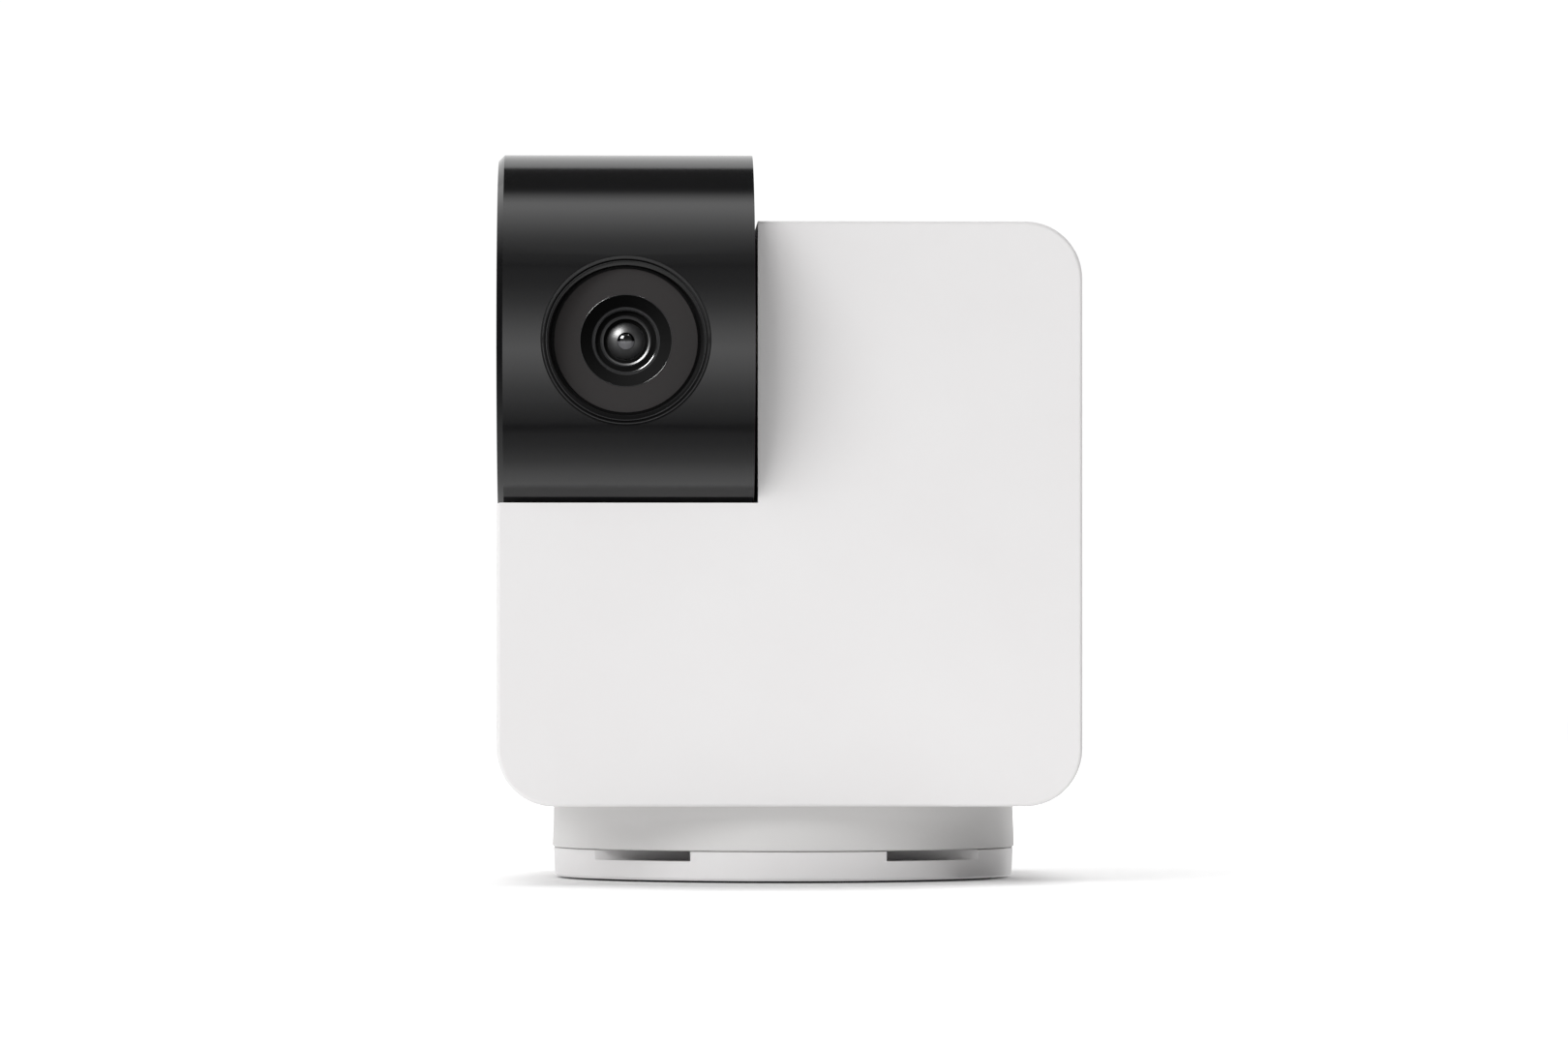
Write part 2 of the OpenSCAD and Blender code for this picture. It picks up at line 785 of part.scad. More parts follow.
// The body's outside: four round corner posts and two crossing slabs, all with finely rounded ends
module body_block() {
  edge_h = body_h - 2 * body_corner_r;
  edge_w = body_w - 2 * body_corner_r;
  translate([0, 0, body_z0 + body_h / 2]) {
    rotate([90, 0, 90])
      linear_extrude(edge_w, center = true)
        rounded_rect(body_d, body_h, body_edge_r);
    linear_extrude(edge_h, center = true)
      rounded_rect(body_w, body_d, body_edge_r);
    for (x = [-1, 1])
      for (z = [-1, 1])
        translate([x * edge_w / 2, 0, z * edge_h / 2])
          rotate([90, 0, 0])
            rotate_extrude()
              intersection() {
                rounded_rect(2 * body_corner_r, body_d, body_edge_r);
                translate([0, -body_d])
                  square([body_corner_r, 2 * body_d]);
              }
  }
}

module body_cavity() {
  cavity_h = cavity_z1 - floor_z1;
  translate([0, 0, (cavity_z1 + floor_z1) / 2])
    upright(front_y + body_wall, rear_y + cut)
      rounded_rect(2 * cavity_x, cavity_h, body_corner_r - body_wall);
  translate([0, 0, body_z0 + body_h / 2])
    upright(cover_y0, rear_y + cut)
      rounded_rect(body_w - 2 * rabbet_w, body_h - 2 * rabbet_w, body_corner_r - rabbet_w);
}

module at_rear_screws() {
  for (x = [-rear_post_x, rear_post_x])
    for (z = [rear_post_low, rear_post_high])
      translate([x, 0, z])
        children();
}

module at_main_board_screws() {
  for (x = [main_board_x0 + main_board_inset, main_board_x1 - main_board_inset])
    for (z = [main_board_z0 + main_board_inset, main_board_z1 - main_board_inset])
      translate([x, 0, z])
        children();
}

module at_power_board_screws() {
  for (x = [-power_post_x, power_post_x])
    translate([x, power_post_y, 0])
      children();
}

module at_motor_ears() {
  for (side = [-1, 1])
    translate([0, side * ear_pitch / 2, 0])
      children();
}

module body_posts() {
  at_tilt_axis()
    rod_x(notch_x, tilt_boss_x1, tilt_boss_r);
  at_tilt_motor()
    at_motor_ears()
      rod(notch_x + body_wall / 2 - tilt_motor_x, 0, ear_post_r);
  at_pan_motor()
    at_motor_ears()
      rod(body_z0 + body_edge_r - pan_motor_z, 0, ear_post_r);
  at_rear_screws()
    rod_y(cover_y0 - rear_post_l, cover_y0, rear_post_r);
  at_main_board_screws()
    rod_y(front_y + body_wall / 2, main_board_y0, screw_post_r);
  at_power_board_screws()
    rod(floor_z1 - floor_t / 2, power_board_z0, screw_post_r);
}

module body_post_holes() {
  at_tilt_motor()
    at_motor_ears()
      rod(-ear_screw_l, cut, pilot_r);
  at_pan_motor()
    at_motor_ears()
      rod(-ear_screw_l, cut, pilot_r);
  at_rear_screws()
    rod_y(cover_y0 - rear_screw_l, cover_y0 + cut, pilot_r);
  at_main_board_screws()
    rod_y(main_board_y1 - main_screw_l, main_board_y1, pilot_r);
  at_power_board_screws()
    rod(power_board_z0 - power_screw_l, power_board_z0 + cut, pilot_r);
}

module body_shell() {
  color(white_plastic)
    difference() {
      union() {
        difference() {
          body_block();
          body_cavity();
        }
        intersection() {
          body_block();
          at_tilt_axis() {
            rod_x(-body_w, notch_x1, pocket_r + body_wall);
            rod_x(notch_x, notch_x1, bulkhead_r);
          }
        }
        body_posts();
      }
      at_tilt_axis() {
        rod_x(-body_w, notch_x, pocket_r);
        rod_x(notch_x - cut, tilt_boss_x1 + cut, tilt_bush_r);
      }
      rod(body_z0 - cut, floor_z1 + cut, pan_bush_r);
      around(skirt_screw_ring_r, skirt_screw_angles)
        rod(body_z0 - cut, floor_z1 + cut, clear_r);
      body_post_holes();
    }
}

module grille_holes() {
  for (ring = [0 : grille_rings])
    for (k = [0 : max(1, 6 * ring) - 1])
      rotate([0, k * 360 / max(1, 6 * ring), 0])
        translate([ring * grille_pitch, 0, 0])
          rod_y(cover_y0 - cut, rear_y + cut, grille_hole_r);
}

module rear_cover() {
  plate_w = body_w - 2 * (rabbet_w + cover_gap);
  plate_height = body_h - 2 * (rabbet_w + cover_gap);
  lip_w = 2 * (cavity_x - cover_gap);
  lip_h = cavity_z1 - floor_z1 - 2 * cover_gap;
  lip_r = body_corner_r - body_wall - cover_gap;
  color(white_plastic)
    difference() {
      union() {
        translate([0, 0, body_z0 + body_h / 2])
          upright(cover_y0, rear_y)
            rounded_rect(plate_w, plate_height, body_corner_r - rabbet_w - cover_gap);
        translate([0, 0, (cavity_z1 + floor_z1) / 2])
          upright(cover_y0 - cover_lip_h, cover_y0)
            difference() {
              rounded_rect(lip_w, lip_h, lip_r);
              rounded_rect(lip_w - 2 * cover_lip_t, lip_h - 2 * cover_lip_t, lip_r - cover_lip_t);
            }
        translate([speaker_x, 0, speaker_z])
          rod_y(cover_y0 - gasket_t - speaker_rim_h, cover_y0, speaker_r + fit_gap + speaker_wall_t);
      }
      translate([speaker_x, 0, speaker_z]) {
        rod_y(cover_y0 - gasket_t - speaker_rim_h - cut, cover_y0, speaker_r + fit_gap);
        grille_holes();
      }
      at_rear_screws() {
        rod_y(cover_y0 - cover_lip_h - cut, cover_y0, rear_post_r + free_gap);
        rod_y(cover_y0 - cut, rear_y + cut, clear_r);
        rod_y(rear_y - rear_head_sink, rear_y + cut, head_hole_r);
      }
      translate([0, 0, usb_z])
        upright(cover_y0 - cut, rear_y + cut)
          rounded_rect(usb_w + 2 * usb_gap, usb_h + 2 * usb_gap, usb_h / 2 + usb_gap - fit_gap);
      translate([button_x, 0, button_z])
        rod_y(cover_y0 - cut, rear_y + cut, button_r + 2 * fit_gap);
      translate([-button_x, 0, power_board_z1 + microphone_h / 2])
        rod_y(cover_y0 - cut, rear_y + cut, microphone_hole_r);
    }
}

module rear_screws() {
  color(steel)
    at_rear_screws()
      translate([0, rear_y - rear_head_sink, 0])
        rotate([-90, 0, 0])
          screw(rear_screw_l + cover_t - rear_head_sink - 0.5);
}

module pan_bush() {
  color(acetal)
    difference() {
      union() {
        rod(deck_z0, floor_z1, pan_bush_r - fit_gap);
        rod(floor_z1, pan_flange_z1, pan_flange_r);
      }
      rod(deck_z0 - cut, pan_flange_z1 + cut, post_r + run_gap);
    }
}

module tilt_bush() {
  color(acetal)
    at_tilt_axis()
      difference() {
        union() {
          rod_x(notch_x, tilt_boss_x1, tilt_bush_r - fit_gap);
          rod_x(tilt_boss_x1, tilt_flange_x1, tilt_bush_r + bush_flange_w);
        }
        rod_x(notch_x - cut, tilt_flange_x1 + cut, tilt_shaft_r + run_gap);
      }
}

// Motors, in their own frame

module motor() {
  color(steel)
    difference() {
      union() {
        rod(0, motor_h - motor_edge, motor_r);
        rod(motor_h - motor_edge, motor_h, motor_r - motor_edge);
        linear_extrude(ear_t) {
          square([2 * ear_r, ear_pitch], center = true);
          at_motor_ears()
            circle(r = ear_r);
        }
        translate([-motor_offset, 0, 0])
          rod(-motor_boss_h, 0, motor_boss_r);
        block(0, motor_r + lead_cover_out, -lead_cover_w / 2, lead_cover_w / 2, ear_t, ear_t + lead_cover_h);
      }
      translate([-motor_offset, 0, 0])
        rod(-motor_boss_h - cut, motor_bore_h + fit_gap, shaft_r + run_gap);
      at_motor_ears()
        rod(-cut, ear_t + cut, clear_r);
    }
}

module motor_screws() {
  color(steel)
    at_motor_ears()
      translate([0, 0, ear_t])
        screw(ear_screw_l);
}

module shaft_section(r, flats) {
  intersection() {
    circle(r = r);
    square([flats, 2 * r + cut], center = true);
  }
}

module motor_shaft() {
  color(steel)
    translate([-motor_offset, 0, 0]) {
      rod(-motor_stand, motor_bore_h, shaft_r);
      translate([0, 0, -motor_stand - gear_face])
        linear_extrude(gear_face)
          shaft_section(shaft_r, shaft_flats);
    }
}

// The pinion is turned so that a gap between its teeth faces the gear
module pinion(gear_direction) {
  color(acetal)
    translate([-motor_offset, 0, -motor_stand - gear_face])
      linear_extrude(gear_face)
        difference() {
          rotate(gear_direction + 180 / pinion_teeth)
            gear_outline(pinion_teeth);
          shaft_section(shaft_r + fit_gap, shaft_flats + 2 * fit_gap);
        }
}

module pan_motor() {
  at_pan_motor()
    motor();
}

module pan_motor_screws() {
  at_pan_motor()
    motor_screws();
}

module pan_motor_shaft() {
  at_pan_motor()
    motor_shaft();
}

module pan_pinion() {
  at_pan_motor()
    pinion(pan_motor_angle + 180);
}

module tilt_motor() {
  at_tilt_motor()
    motor();
}

module tilt_motor_screws() {
  at_tilt_motor()
    motor_screws();
}

module tilt_motor_shaft() {
  at_tilt_motor()
    motor_shaft();
}

module tilt_pinion() {
  at_tilt_motor()
    pinion(180);
}

// Electronics in the body

module main_board() {
  color(board_green)
    difference() {
      block(main_board_x0, main_board_x1, main_board_y0, main_board_y1, main_board_z0, main_board_z1);
      at_main_board_screws()
        rod_y(main_board_y0 - cut, main_board_y1 + cut, clear_r);
    }
}

// A component on the main board: where its middle lies, as shares of the board, and its size
module chip(across, up, size) {
  x = main_board_x0 + across * (main_board_x1 - main_board_x0);
  z = main_board_z0 + up * (main_board_z1 - main_board_z0);
  translate([x - size[0] / 2, main_board_y1, z - size[1] / 2])
    cube([size[0], size[2], size[1]]);
}

module main_board_chips() {
  color(board_black) {
    chip(0.5, 0.56, processor_size);
    chip(0.5, 0.8, memory_size);
    chip(0.24, 0.38, radio_size);
    chip(0.74, 0.38, sound_size);
    chip(0.28, 0.2, plug_size);
    chip(0.72, 0.2, plug_size);
  }
}

module main_board_screws() {
  color(steel)
    at_main_board_screws()
      translate([0, main_board_y1, 0])
        rotate([-90, 0, 0])
          screw(main_screw_l);
}

module wifi_antenna() {
  color(board_black)
    block(-antenna_w / 2, antenna_w / 2, cover_y0 - antenna_t, cover_y0,
      cavity_z1 - cover_lip_t - 1 - antenna_h, cavity_z1 - cover_lip_t - 1);
}

module speaker() {
  rim_y1 = cover_y0 - gasket_t;
  color(dark_plastic)
    translate([speaker_x, 0, speaker_z])
      difference() {
        union() {
          rod_y(rim_y1 - speaker_rim_h, rim_y1, speaker_r);
          rod_y(cover_y0 - speaker_h, rim_y1, speaker_magnet_r);
        }
        rod_y(rim_y1 - speaker_rim_h / 2, rim_y1 + cut, speaker_r - gasket_w);
      }
}

module speaker_gasket() {
  color(rubber)
    translate([speaker_x, 0, speaker_z])
      difference() {
        rod_y(cover_y0 - gasket_t, cover_y0, speaker_r);
        rod_y(cover_y0 - gasket_t - cut, cover_y0 + cut, speaker_r - gasket_w);
      }
}

module power_board() {
  color(board_green)
    difference() {
      block(-power_board_w / 2, power_board_w / 2, power_board_y0, power_board_y1,
        power_board_z0, power_board_z1);
      at_power_board_screws()
        rod(power_board_z0 - cut, power_board_z1 + cut, clear_r);
    }
}

module power_inlet() {
  color(steel)
    translate([0, 0, usb_z]) {
      difference() {
        upright(usb_y1 - usb_l, usb_y1)
          rounded_rect(usb_w, usb_h, usb_h / 2 - fit_gap);
        upright(usb_y1 - usb_l + 2 * usb_shell_t, usb_y1 + cut)
          rounded_rect(usb_w - 2 * usb_shell_t, usb_h - 2 * usb_shell_t, usb_h / 2 - usb_shell_t - fit_gap);
      }
      block(-usb_w * 0.36, usb_w * 0.36, usb_y1 - usb_l + usb_shell_t, usb_y1 - 1,
        -usb_tongue_h / 2, usb_tongue_h / 2);
    }
}

module power_board_screws() {
  color(steel)
    at_power_board_screws()
      translate([0, 0, power_board_z1])
        screw(power_screw_l);
}

module reset_switch() {
  color(dark_plastic) {
    block(button_x - switch_w / 2, button_x + switch_w / 2, switch_y1 - switch_d, switch_y1,
      power_board_z1, power_board_z1 + switch_h);
    translate([button_x, 0, button_z])
      rod_y(switch_y1 - cut, plunger_y1, plunger_r);
  }
}

module microphone() {
  color(steel)
    block(-button_x - microphone_w / 2, -button_x + microphone_w / 2,
      power_board_y1 - microphone_d, power_board_y1, power_board_z1, power_board_z1 + microphone_h);
}

module reset_button() {
  color(dark_plastic)
    translate([button_x, 0, button_z]) {
      rod_y(button_back_y, button_back_y + button_flange_t, button_flange_r);
      rod_y(button_back_y, rear_y + button_proud, button_r);
    }
}

// Camera head

module at_sensor_screws() {
  for (x = [-sensor_post_x, sensor_post_x])
    for (z = [-sensor_post_z, sensor_post_z])
      translate([x, z, 0])
        children();
}

module head_shell() {
  barrel_x0 = head_x0 + head_chamfer;
  color(black_plastic)
    difference() {
      union() {
        at_tilt_axis()
          difference() {
            rod_x(barrel_x0, head_x1, head_r);
            rod_x(barrel_x0 - cut, head_x1 - head_end_wall, head_in_r);
          }
        intersection() {
          on_lens_axis()
            at_sensor_screws()
              rod(sensor_board_u1, head_r, screw_post_r);
          at_tilt_axis()
            rod_x(barrel_x0, head_x1, head_r - head_wall / 2);
        }
      }
      on_lens_axis() {
        rod(head_r / 2, head_r + cut, bezel_r);
        at_sensor_screws()
          rod(sensor_board_u1 - cut, sensor_board_u1 + sensor_screw_l, pilot_r);
      }
      at_tilt_axis() {
        rod_x(head_x1 - head_end_wall - cut, head_x1 + cut, tilt_shaft_r + fit_gap);
        rotate([0, 90, 0])
          around(tilt_screw_ring_r, tilt_screw_angles)
            rod(head_x1 - head_end_wall - cut, tilt_plate_x0 + tilt_screw_l + fit_gap, pilot_r);
      }
    }
}

module head_end_cap() {
  color(black_plastic)
    at_tilt_axis() {
      translate([head_x0, 0, 0])
        rotate([0, 90, 0])
          cylinder(h = head_chamfer, r1 = head_r - head_chamfer, r2 = head_r);
      rod_x(head_x0 + head_chamfer, head_x0 + head_wall, head_in_r - fit_gap);
      tube_x(head_x0 + head_chamfer, head_x0 + head_wall + cap_collar_h,
        head_in_r - fit_gap, head_in_r - fit_gap - head_wall);
    }
}

// Two lips that follow the round head, the inner one a step lower
module lens_bezel() {
  lip_r = bezel_out_r - bezel_lip_w;
  flare_h = head_r + cut - window_u1;
  color(black_plastic)
    difference() {
      union() {
        intersection() {
          on_lens_axis()
            tube(led_u0, head_r + cut, bezel_out_r, lip_r);
          at_tilt_axis()
            rod_x(head_x0, head_x1, head_r);
        }
        intersection() {
          on_lens_axis()
            rod(led_u0, head_r + cut, lip_r);
          at_tilt_axis()
            rod_x(head_x0, head_x1, head_r - bezel_step);
        }
      }
      on_lens_axis() {
        rod(led_u0 - cut, bezel_ledge_u0, bezel_in_r);
        rod(bezel_ledge_u0 - cut, window_u0 + cut, bezel_ledge_r);
        rod(window_u0, window_u1 + cut, bezel_in_r);
        translate([0, 0, window_u1])
          cylinder(h = flare_h, r1 = bezel_in_r, r2 = bezel_in_r + bezel_flare * flare_h);
      }
    }
}

module face_window() {
  color(window_plastic)
    on_lens_axis()
      tube(window_u0, window_u1, face_r, window_hole_r);
}

// A black dish with two round beads that keep stray light off the lens
module lens_hood() {
  bead_r = bead_t / 2;
  color(black_plastic)
    on_lens_axis()
      rotate_extrude() {
        polygon([
          [hood_hole_r, hood_u0],
          [hood_out_r, hood_u0],
          [hood_out_r, window_u0],
          [hood_rim_r, window_u0],
          [hood_rim_r, hood_u1],
          [outer_bead_r, hood_step_u],
          [outer_bead_r, hood_floor_u],
          [inner_bead_r, hood_floor_u],
          [inner_bead_r, hood_well_u],
          [hood_hole_r, hood_well_u]
        ]);
        translate([outer_bead_r, hood_step_u - bead_r / 2])
          circle(r = bead_r);
        translate([inner_bead_r, hood_floor_u - bead_r / 2])
          circle(r = bead_r);
      }
}

module front_lens() {
  dome_r = (front_lens_r * front_lens_r + front_lens_dome * front_lens_dome) / (2 * front_lens_dome);
  rim_u = nose_top_u - front_lens_drop;
  color(glass)
    on_lens_axis() {
      rod(nose_u - lens_seat_h, rim_u, front_lens_r);
      intersection() {
        rod(rim_u, rim_u + front_lens_dome + cut, front_lens_r);
        translate([0, 0, rim_u + front_lens_dome - dome_r])
          sphere(r = dome_r);
      }
    }
}

module rear_lens() {
  color(glass)
    on_lens_axis()
      rod(barrel_u0 + 0.6, barrel_u0 + 2.6, light_path_r - fit_gap);
}

module lens_barrel() {
  dome_r = (nose_r * nose_r + nose_h * nose_h) / (2 * nose_h);
  seat_u = nose_u - lens_seat_h;
  color(dark_plastic)
    on_lens_axis()
      difference() {
        union() {
          rod(barrel_u0, barrel_u1, barrel_r);
          intersection() {
            rod(barrel_u1 - cut, nose_top_u + cut, nose_r);
            translate([0, 0, nose_top_u - dome_r])
              sphere(r = dome_r);
          }
        }
        rod(barrel_u0 - cut, seat_u - 1.5, light_path_r - 1.4);
        rod(barrel_u0 - cut, barrel_u0 + 2.6, light_path_r);
        rod(barrel_u0, seat_u + cut, front_lens_r - 0.3);
        rod(seat_u, nose_top_u + cut, front_lens_r + fit_gap);
      }
}

module lens_holder() {
  foot_u1 = sensor_board_u1 + holder_foot_h;
  color(dark_plastic)
    on_lens_axis()
      difference() {
        union() {
          translate([0, 0, sensor_board_u1])
            linear_extrude(holder_foot_h)
              square(holder_w, center = true);
          rod(sensor_board_u1, holder_u1, holder_r);
        }
        rod(filter_u0 + filter_t, holder_u1 + cut, barrel_r + fit_gap);
        rod(filter_u0, filter_u0 + filter_t + cut, filter_r + fit_gap);
        rod(sensor_board_u1 - cut, filter_u0 + cut, light_path_r);
        translate([0, 0, sensor_board_u1 - cut])
          linear_extrude(sensor_h + free_gap + cut)
            square(sensor_w + 2 * free_gap, center = true);
      }
}

module infrared_filter() {
  color(glass)
    on_lens_axis()
      rod(filter_u0, filter_u0 + filter_t, filter_r);
}

module image_sensor() {
  color(board_black)
    on_lens_axis()
      translate([0, 0, sensor_board_u1])
        linear_extrude(sensor_h)
          square(sensor_w, center = true);
}

module sensor_board() {
  color(board_green)
    on_lens_axis()
      difference() {
        translate([0, 0, sensor_board_u0])
          linear_extrude(board_t)
            square([sensor_board_w, sensor_board_h], center = true);
        at_sensor_screws()
          rod(sensor_board_u0 - cut, sensor_board_u1 + cut, clear_r);
      }
}

module sensor_board_screws() {
  color(steel)
    on_lens_axis()
      at_sensor_screws()
        translate([0, 0, sensor_board_u0])
          rotate([180, 0, 0])
            screw(sensor_screw_l);
}

module led_board() {
  color(board_black)
    on_lens_axis()
      tube(led_board_u0, led_u0, led_board_out_r, led_board_in_r);
}

module infrared_leds() {
  color(window_plastic)
    on_lens_axis()
      around(led_ring_r, [for (k = [0 : led_count - 1]) k * 360 / led_count])
        rod(led_u0, led_u0 + led_h, led_r);
}

module tilt_shaft() {
  color(acetal)
    at_tilt_axis()
      difference() {
        union() {
          rod_x(tilt_plate_x0, tilt_plate_x0 + tilt_plate_t, tilt_plate_r);
          rod_x(tilt_plate_x0, tilt_shaft_x1, tilt_shaft_r);
        }
        rod_x(tilt_plate_x0 - cut, tilt_shaft_x1 + cut, tilt_shaft_in_r);
        tube_x(tilt_gear_x1, tilt_gear_x1 + clip_t, tilt_shaft_r + cut, tilt_shaft_r - clip_groove);
        rotate([0, 90, 0])
          around(tilt_screw_ring_r, tilt_screw_angles)
            rod(tilt_plate_x0 - cut, tilt_plate_x0 + tilt_plate_t + cut, clear_r);
      }
}

module tilt_shaft_screws() {
  color(steel)
    at_tilt_axis()
      rotate([0, 90, 0])
        around(tilt_screw_ring_r, tilt_screw_angles)
          translate([0, 0, tilt_plate_x0])
            rotate([180, 0, 0])
              screw(tilt_screw_l);
}

module tilt_gear() {
  color(acetal)
    at_tilt_axis()
      difference() {
        translate([tilt_gear_x0, 0, 0])
          rotate([90, 0, 90])
            rotate([0, 0, tilt_motor_angle])
              linear_extrude(gear_face)
                gear_outline(tilt_teeth);
        rod_x(tilt_gear_x0 - cut, tilt_gear_x1 + cut, tilt_shaft_r + fit_gap);
      }
}

module tilt_clip() {
  inner_r = tilt_shaft_r - clip_groove + fit_gap;
  color(steel)
    at_tilt_axis()
      difference() {
        tube_x(tilt_gear_x1 + fit_gap, tilt_gear_x1 + clip_t - fit_gap, tilt_shaft_r + clip_w, inner_r);
        block(tilt_gear_x1, tilt_gear_x1 + clip_t, 0, 2 * tilt_shaft_r, -clip_slot / 2, clip_slot / 2);
      }
}

foot_ring();
base_plate();
tripod_insert();
ballast_ring();
pan_post();
base_screws();
slide_washer();
pan_gear();
pan_gear_screws();
neck_skirt();
skirt_screws();
body_shell();
rear_cover();
rear_screws();
pan_bush();
tilt_bush();
pan_motor();
pan_motor_screws();
pan_motor_shaft();
pan_pinion();
tilt_motor();
tilt_motor_screws();
tilt_motor_shaft();
tilt_pinion();
main_board();
main_board_chips();
main_board_screws();
wifi_antenna();
speaker();
speaker_gasket();
power_board();
power_inlet();
power_board_screws();
reset_switch();
microphone();
reset_button();
head_shell();
head_end_cap();
lens_bezel();
face_window();
lens_hood();
front_lens();
rear_lens();
lens_barrel();
lens_holder();
infrared_filter();
image_sensor();
sensor_board();
sensor_board_screws();
led_board();
infrared_leds();
tilt_shaft();
tilt_shaft_screws();
tilt_gear();
tilt_clip();
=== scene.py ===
# %% [markdown]
# # A pan and tilt pet camera
# The CAD model gives every rigid piece its place, so the lesson starts by loading it. Each node
# arrives as a mesh in metres, in the frame where the turning axis is Z and the lens looks along -Y.
# It could be remodelled here by hand, but then the joints would no longer fit. So the solids stay,
# and Blender adds what they lack: surface finish, fine detail and light.

# %% Load the frame
import json
import math

import bmesh
import bpy
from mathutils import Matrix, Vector


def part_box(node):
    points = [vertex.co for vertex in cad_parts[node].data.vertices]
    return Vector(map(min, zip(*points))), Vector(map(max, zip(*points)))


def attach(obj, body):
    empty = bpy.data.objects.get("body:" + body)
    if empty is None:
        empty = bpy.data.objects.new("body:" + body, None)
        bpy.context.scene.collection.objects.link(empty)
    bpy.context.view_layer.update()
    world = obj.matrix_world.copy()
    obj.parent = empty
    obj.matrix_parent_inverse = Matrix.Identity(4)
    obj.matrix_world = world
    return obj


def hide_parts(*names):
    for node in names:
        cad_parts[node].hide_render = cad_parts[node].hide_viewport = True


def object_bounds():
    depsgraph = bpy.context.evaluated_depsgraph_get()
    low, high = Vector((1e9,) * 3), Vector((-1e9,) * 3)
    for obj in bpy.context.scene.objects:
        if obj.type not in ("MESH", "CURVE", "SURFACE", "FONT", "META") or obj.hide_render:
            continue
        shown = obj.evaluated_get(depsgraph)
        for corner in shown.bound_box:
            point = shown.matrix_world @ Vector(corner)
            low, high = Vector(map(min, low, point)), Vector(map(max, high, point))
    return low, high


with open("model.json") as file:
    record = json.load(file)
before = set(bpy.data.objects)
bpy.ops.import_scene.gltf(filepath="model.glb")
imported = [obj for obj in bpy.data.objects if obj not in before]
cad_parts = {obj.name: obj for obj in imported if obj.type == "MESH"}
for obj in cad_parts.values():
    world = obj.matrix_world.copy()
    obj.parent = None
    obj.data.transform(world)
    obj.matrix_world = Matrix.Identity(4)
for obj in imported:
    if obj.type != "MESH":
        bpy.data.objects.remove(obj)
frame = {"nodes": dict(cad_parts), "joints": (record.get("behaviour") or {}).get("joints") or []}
cad_low, cad_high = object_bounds()
MM = 0.001
size_mm = [round(side / MM, 1) for side in cad_high - cad_low]
print("loaded", len(frame["nodes"]), "nodes; size in mm:", size_mm)

# %% [markdown]
# ## Where the head is
# All that lies around the lens is laid out from two lines that cross in the round head: the axis it
# tilts about and the axis of the lens. The numbers could be copied from the CAD source. Here they are
# read from the frame, so that the fine detail follows if the head is moved one day.

# %% Axes of the head
tilt = next(joint for joint in frame["joints"] if joint["name"] == "head_tilt")
HEAD_Y, HEAD_Z = tilt["pos_m"][1:]
lens_low, lens_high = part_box("front_lens")
LENS_X = (lens_low.x + lens_high.x) / 2
cap_low, cap_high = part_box("head_end_cap")
HEAD_R = (cap_high.z - cap_low.z) / 2
print("lens axis in mm:", round(LENS_X / MM, 2), round(HEAD_Z / MM, 2), "head radius:", round(HEAD_R / MM, 2))

# %% [markdown]
# ## Small helpers for materials
# Colours are picked as sRGB hex values, the way a colour picker shows them, but shaders reckon in
# linear light. One function converts them. A second one adds a shader node, sets its values and
# connects it, so that each material below reads from top to bottom like a recipe.

# %% Colour and node helpers
def linear(hex_colour):
    channels = [int(hex_colour[i:i + 2], 16) / 255 for i in (1, 3, 5)]
    return [c / 12.92 if c <= 0.04045 else ((c + 0.055) / 1.055) ** 2.4 for c in channels] + [1.0]


def add(tree, kind, values=None, links=None, **settings):
    node = tree.nodes.new(kind)
    for name, value in settings.items():
        setattr(node, name, value)
    for name, value in (values or {}).items():
        node.inputs[name].default_value = value
    for name, socket in (links or {}).items():
        tree.links.new(socket, node.inputs[name])
    return node


def new_material(name):
    material = bpy.data.materials.new(name)
    material.use_nodes = True
    tree = material.node_tree
    tree.nodes.clear()
    place = add(tree, "ShaderNodeTexCoord").outputs["Object"]
    return material, tree, place


def finish_with(tree, shader):
    add(tree, "ShaderNodeOutputMaterial", links={"Surface": shader.outputs[0]})


print("the body's white in linear light:", [round(c, 3) for c in linear("#f2f1f1")])

# %% [markdown]
# ## Moulded plastics
# Most of the camera is injection-moulded. A mould's surface is never perfect: the gloss wanders a
# little from place to place, and a satin finish has a fine spark-eroded grain. Both can be drawn
# with noise. The grain on the real part is about 0.1 mm, too fine for the picture, so it is drawn a
# few times as coarse. One recipe serves all the plastics, because only its numbers differ.

# %% Recipe for moulded plastic
CLOUD_MM = 18


def moulded_plastic(name, colour, deep_colour, roughness, drift, grain_mm, height_mm, ior=1.5, specular=0.5):
    material, tree, place = new_material(name)
    cloud = add(tree, "ShaderNodeTexNoise", {"Scale": 1 / (CLOUD_MM * MM), "Detail": 3.0}, {"Vector": place})
    grain = add(tree, "ShaderNodeTexNoise", {"Scale": 1 / (grain_mm * MM), "Detail": 2.0}, {"Vector": place})
    tint = add(tree, "ShaderNodeMix", {"A": linear(colour), "B": linear(deep_colour)},
               {"Factor": cloud.outputs["Fac"]}, data_type="RGBA")
    gloss = add(tree, "ShaderNodeMapRange", {"To Min": roughness - drift, "To Max": roughness + drift},
                {"Value": cloud.outputs["Fac"]})
    bump = add(tree, "ShaderNodeBump", {"Strength": 1.0, "Distance": height_mm * MM},
               {"Height": grain.outputs["Fac"]})
    shader = add(tree, "ShaderNodeBsdfPrincipled", {"IOR": ior, "Specular IOR Level": specular},
                 {"Base Color": tint.outputs["Result"], "Roughness": gloss.outputs["Result"],
                  "Normal": bump.outputs["Normal"]})
    finish_with(tree, shader)
    return material


print("gloss wanders over", CLOUD_MM, "mm")

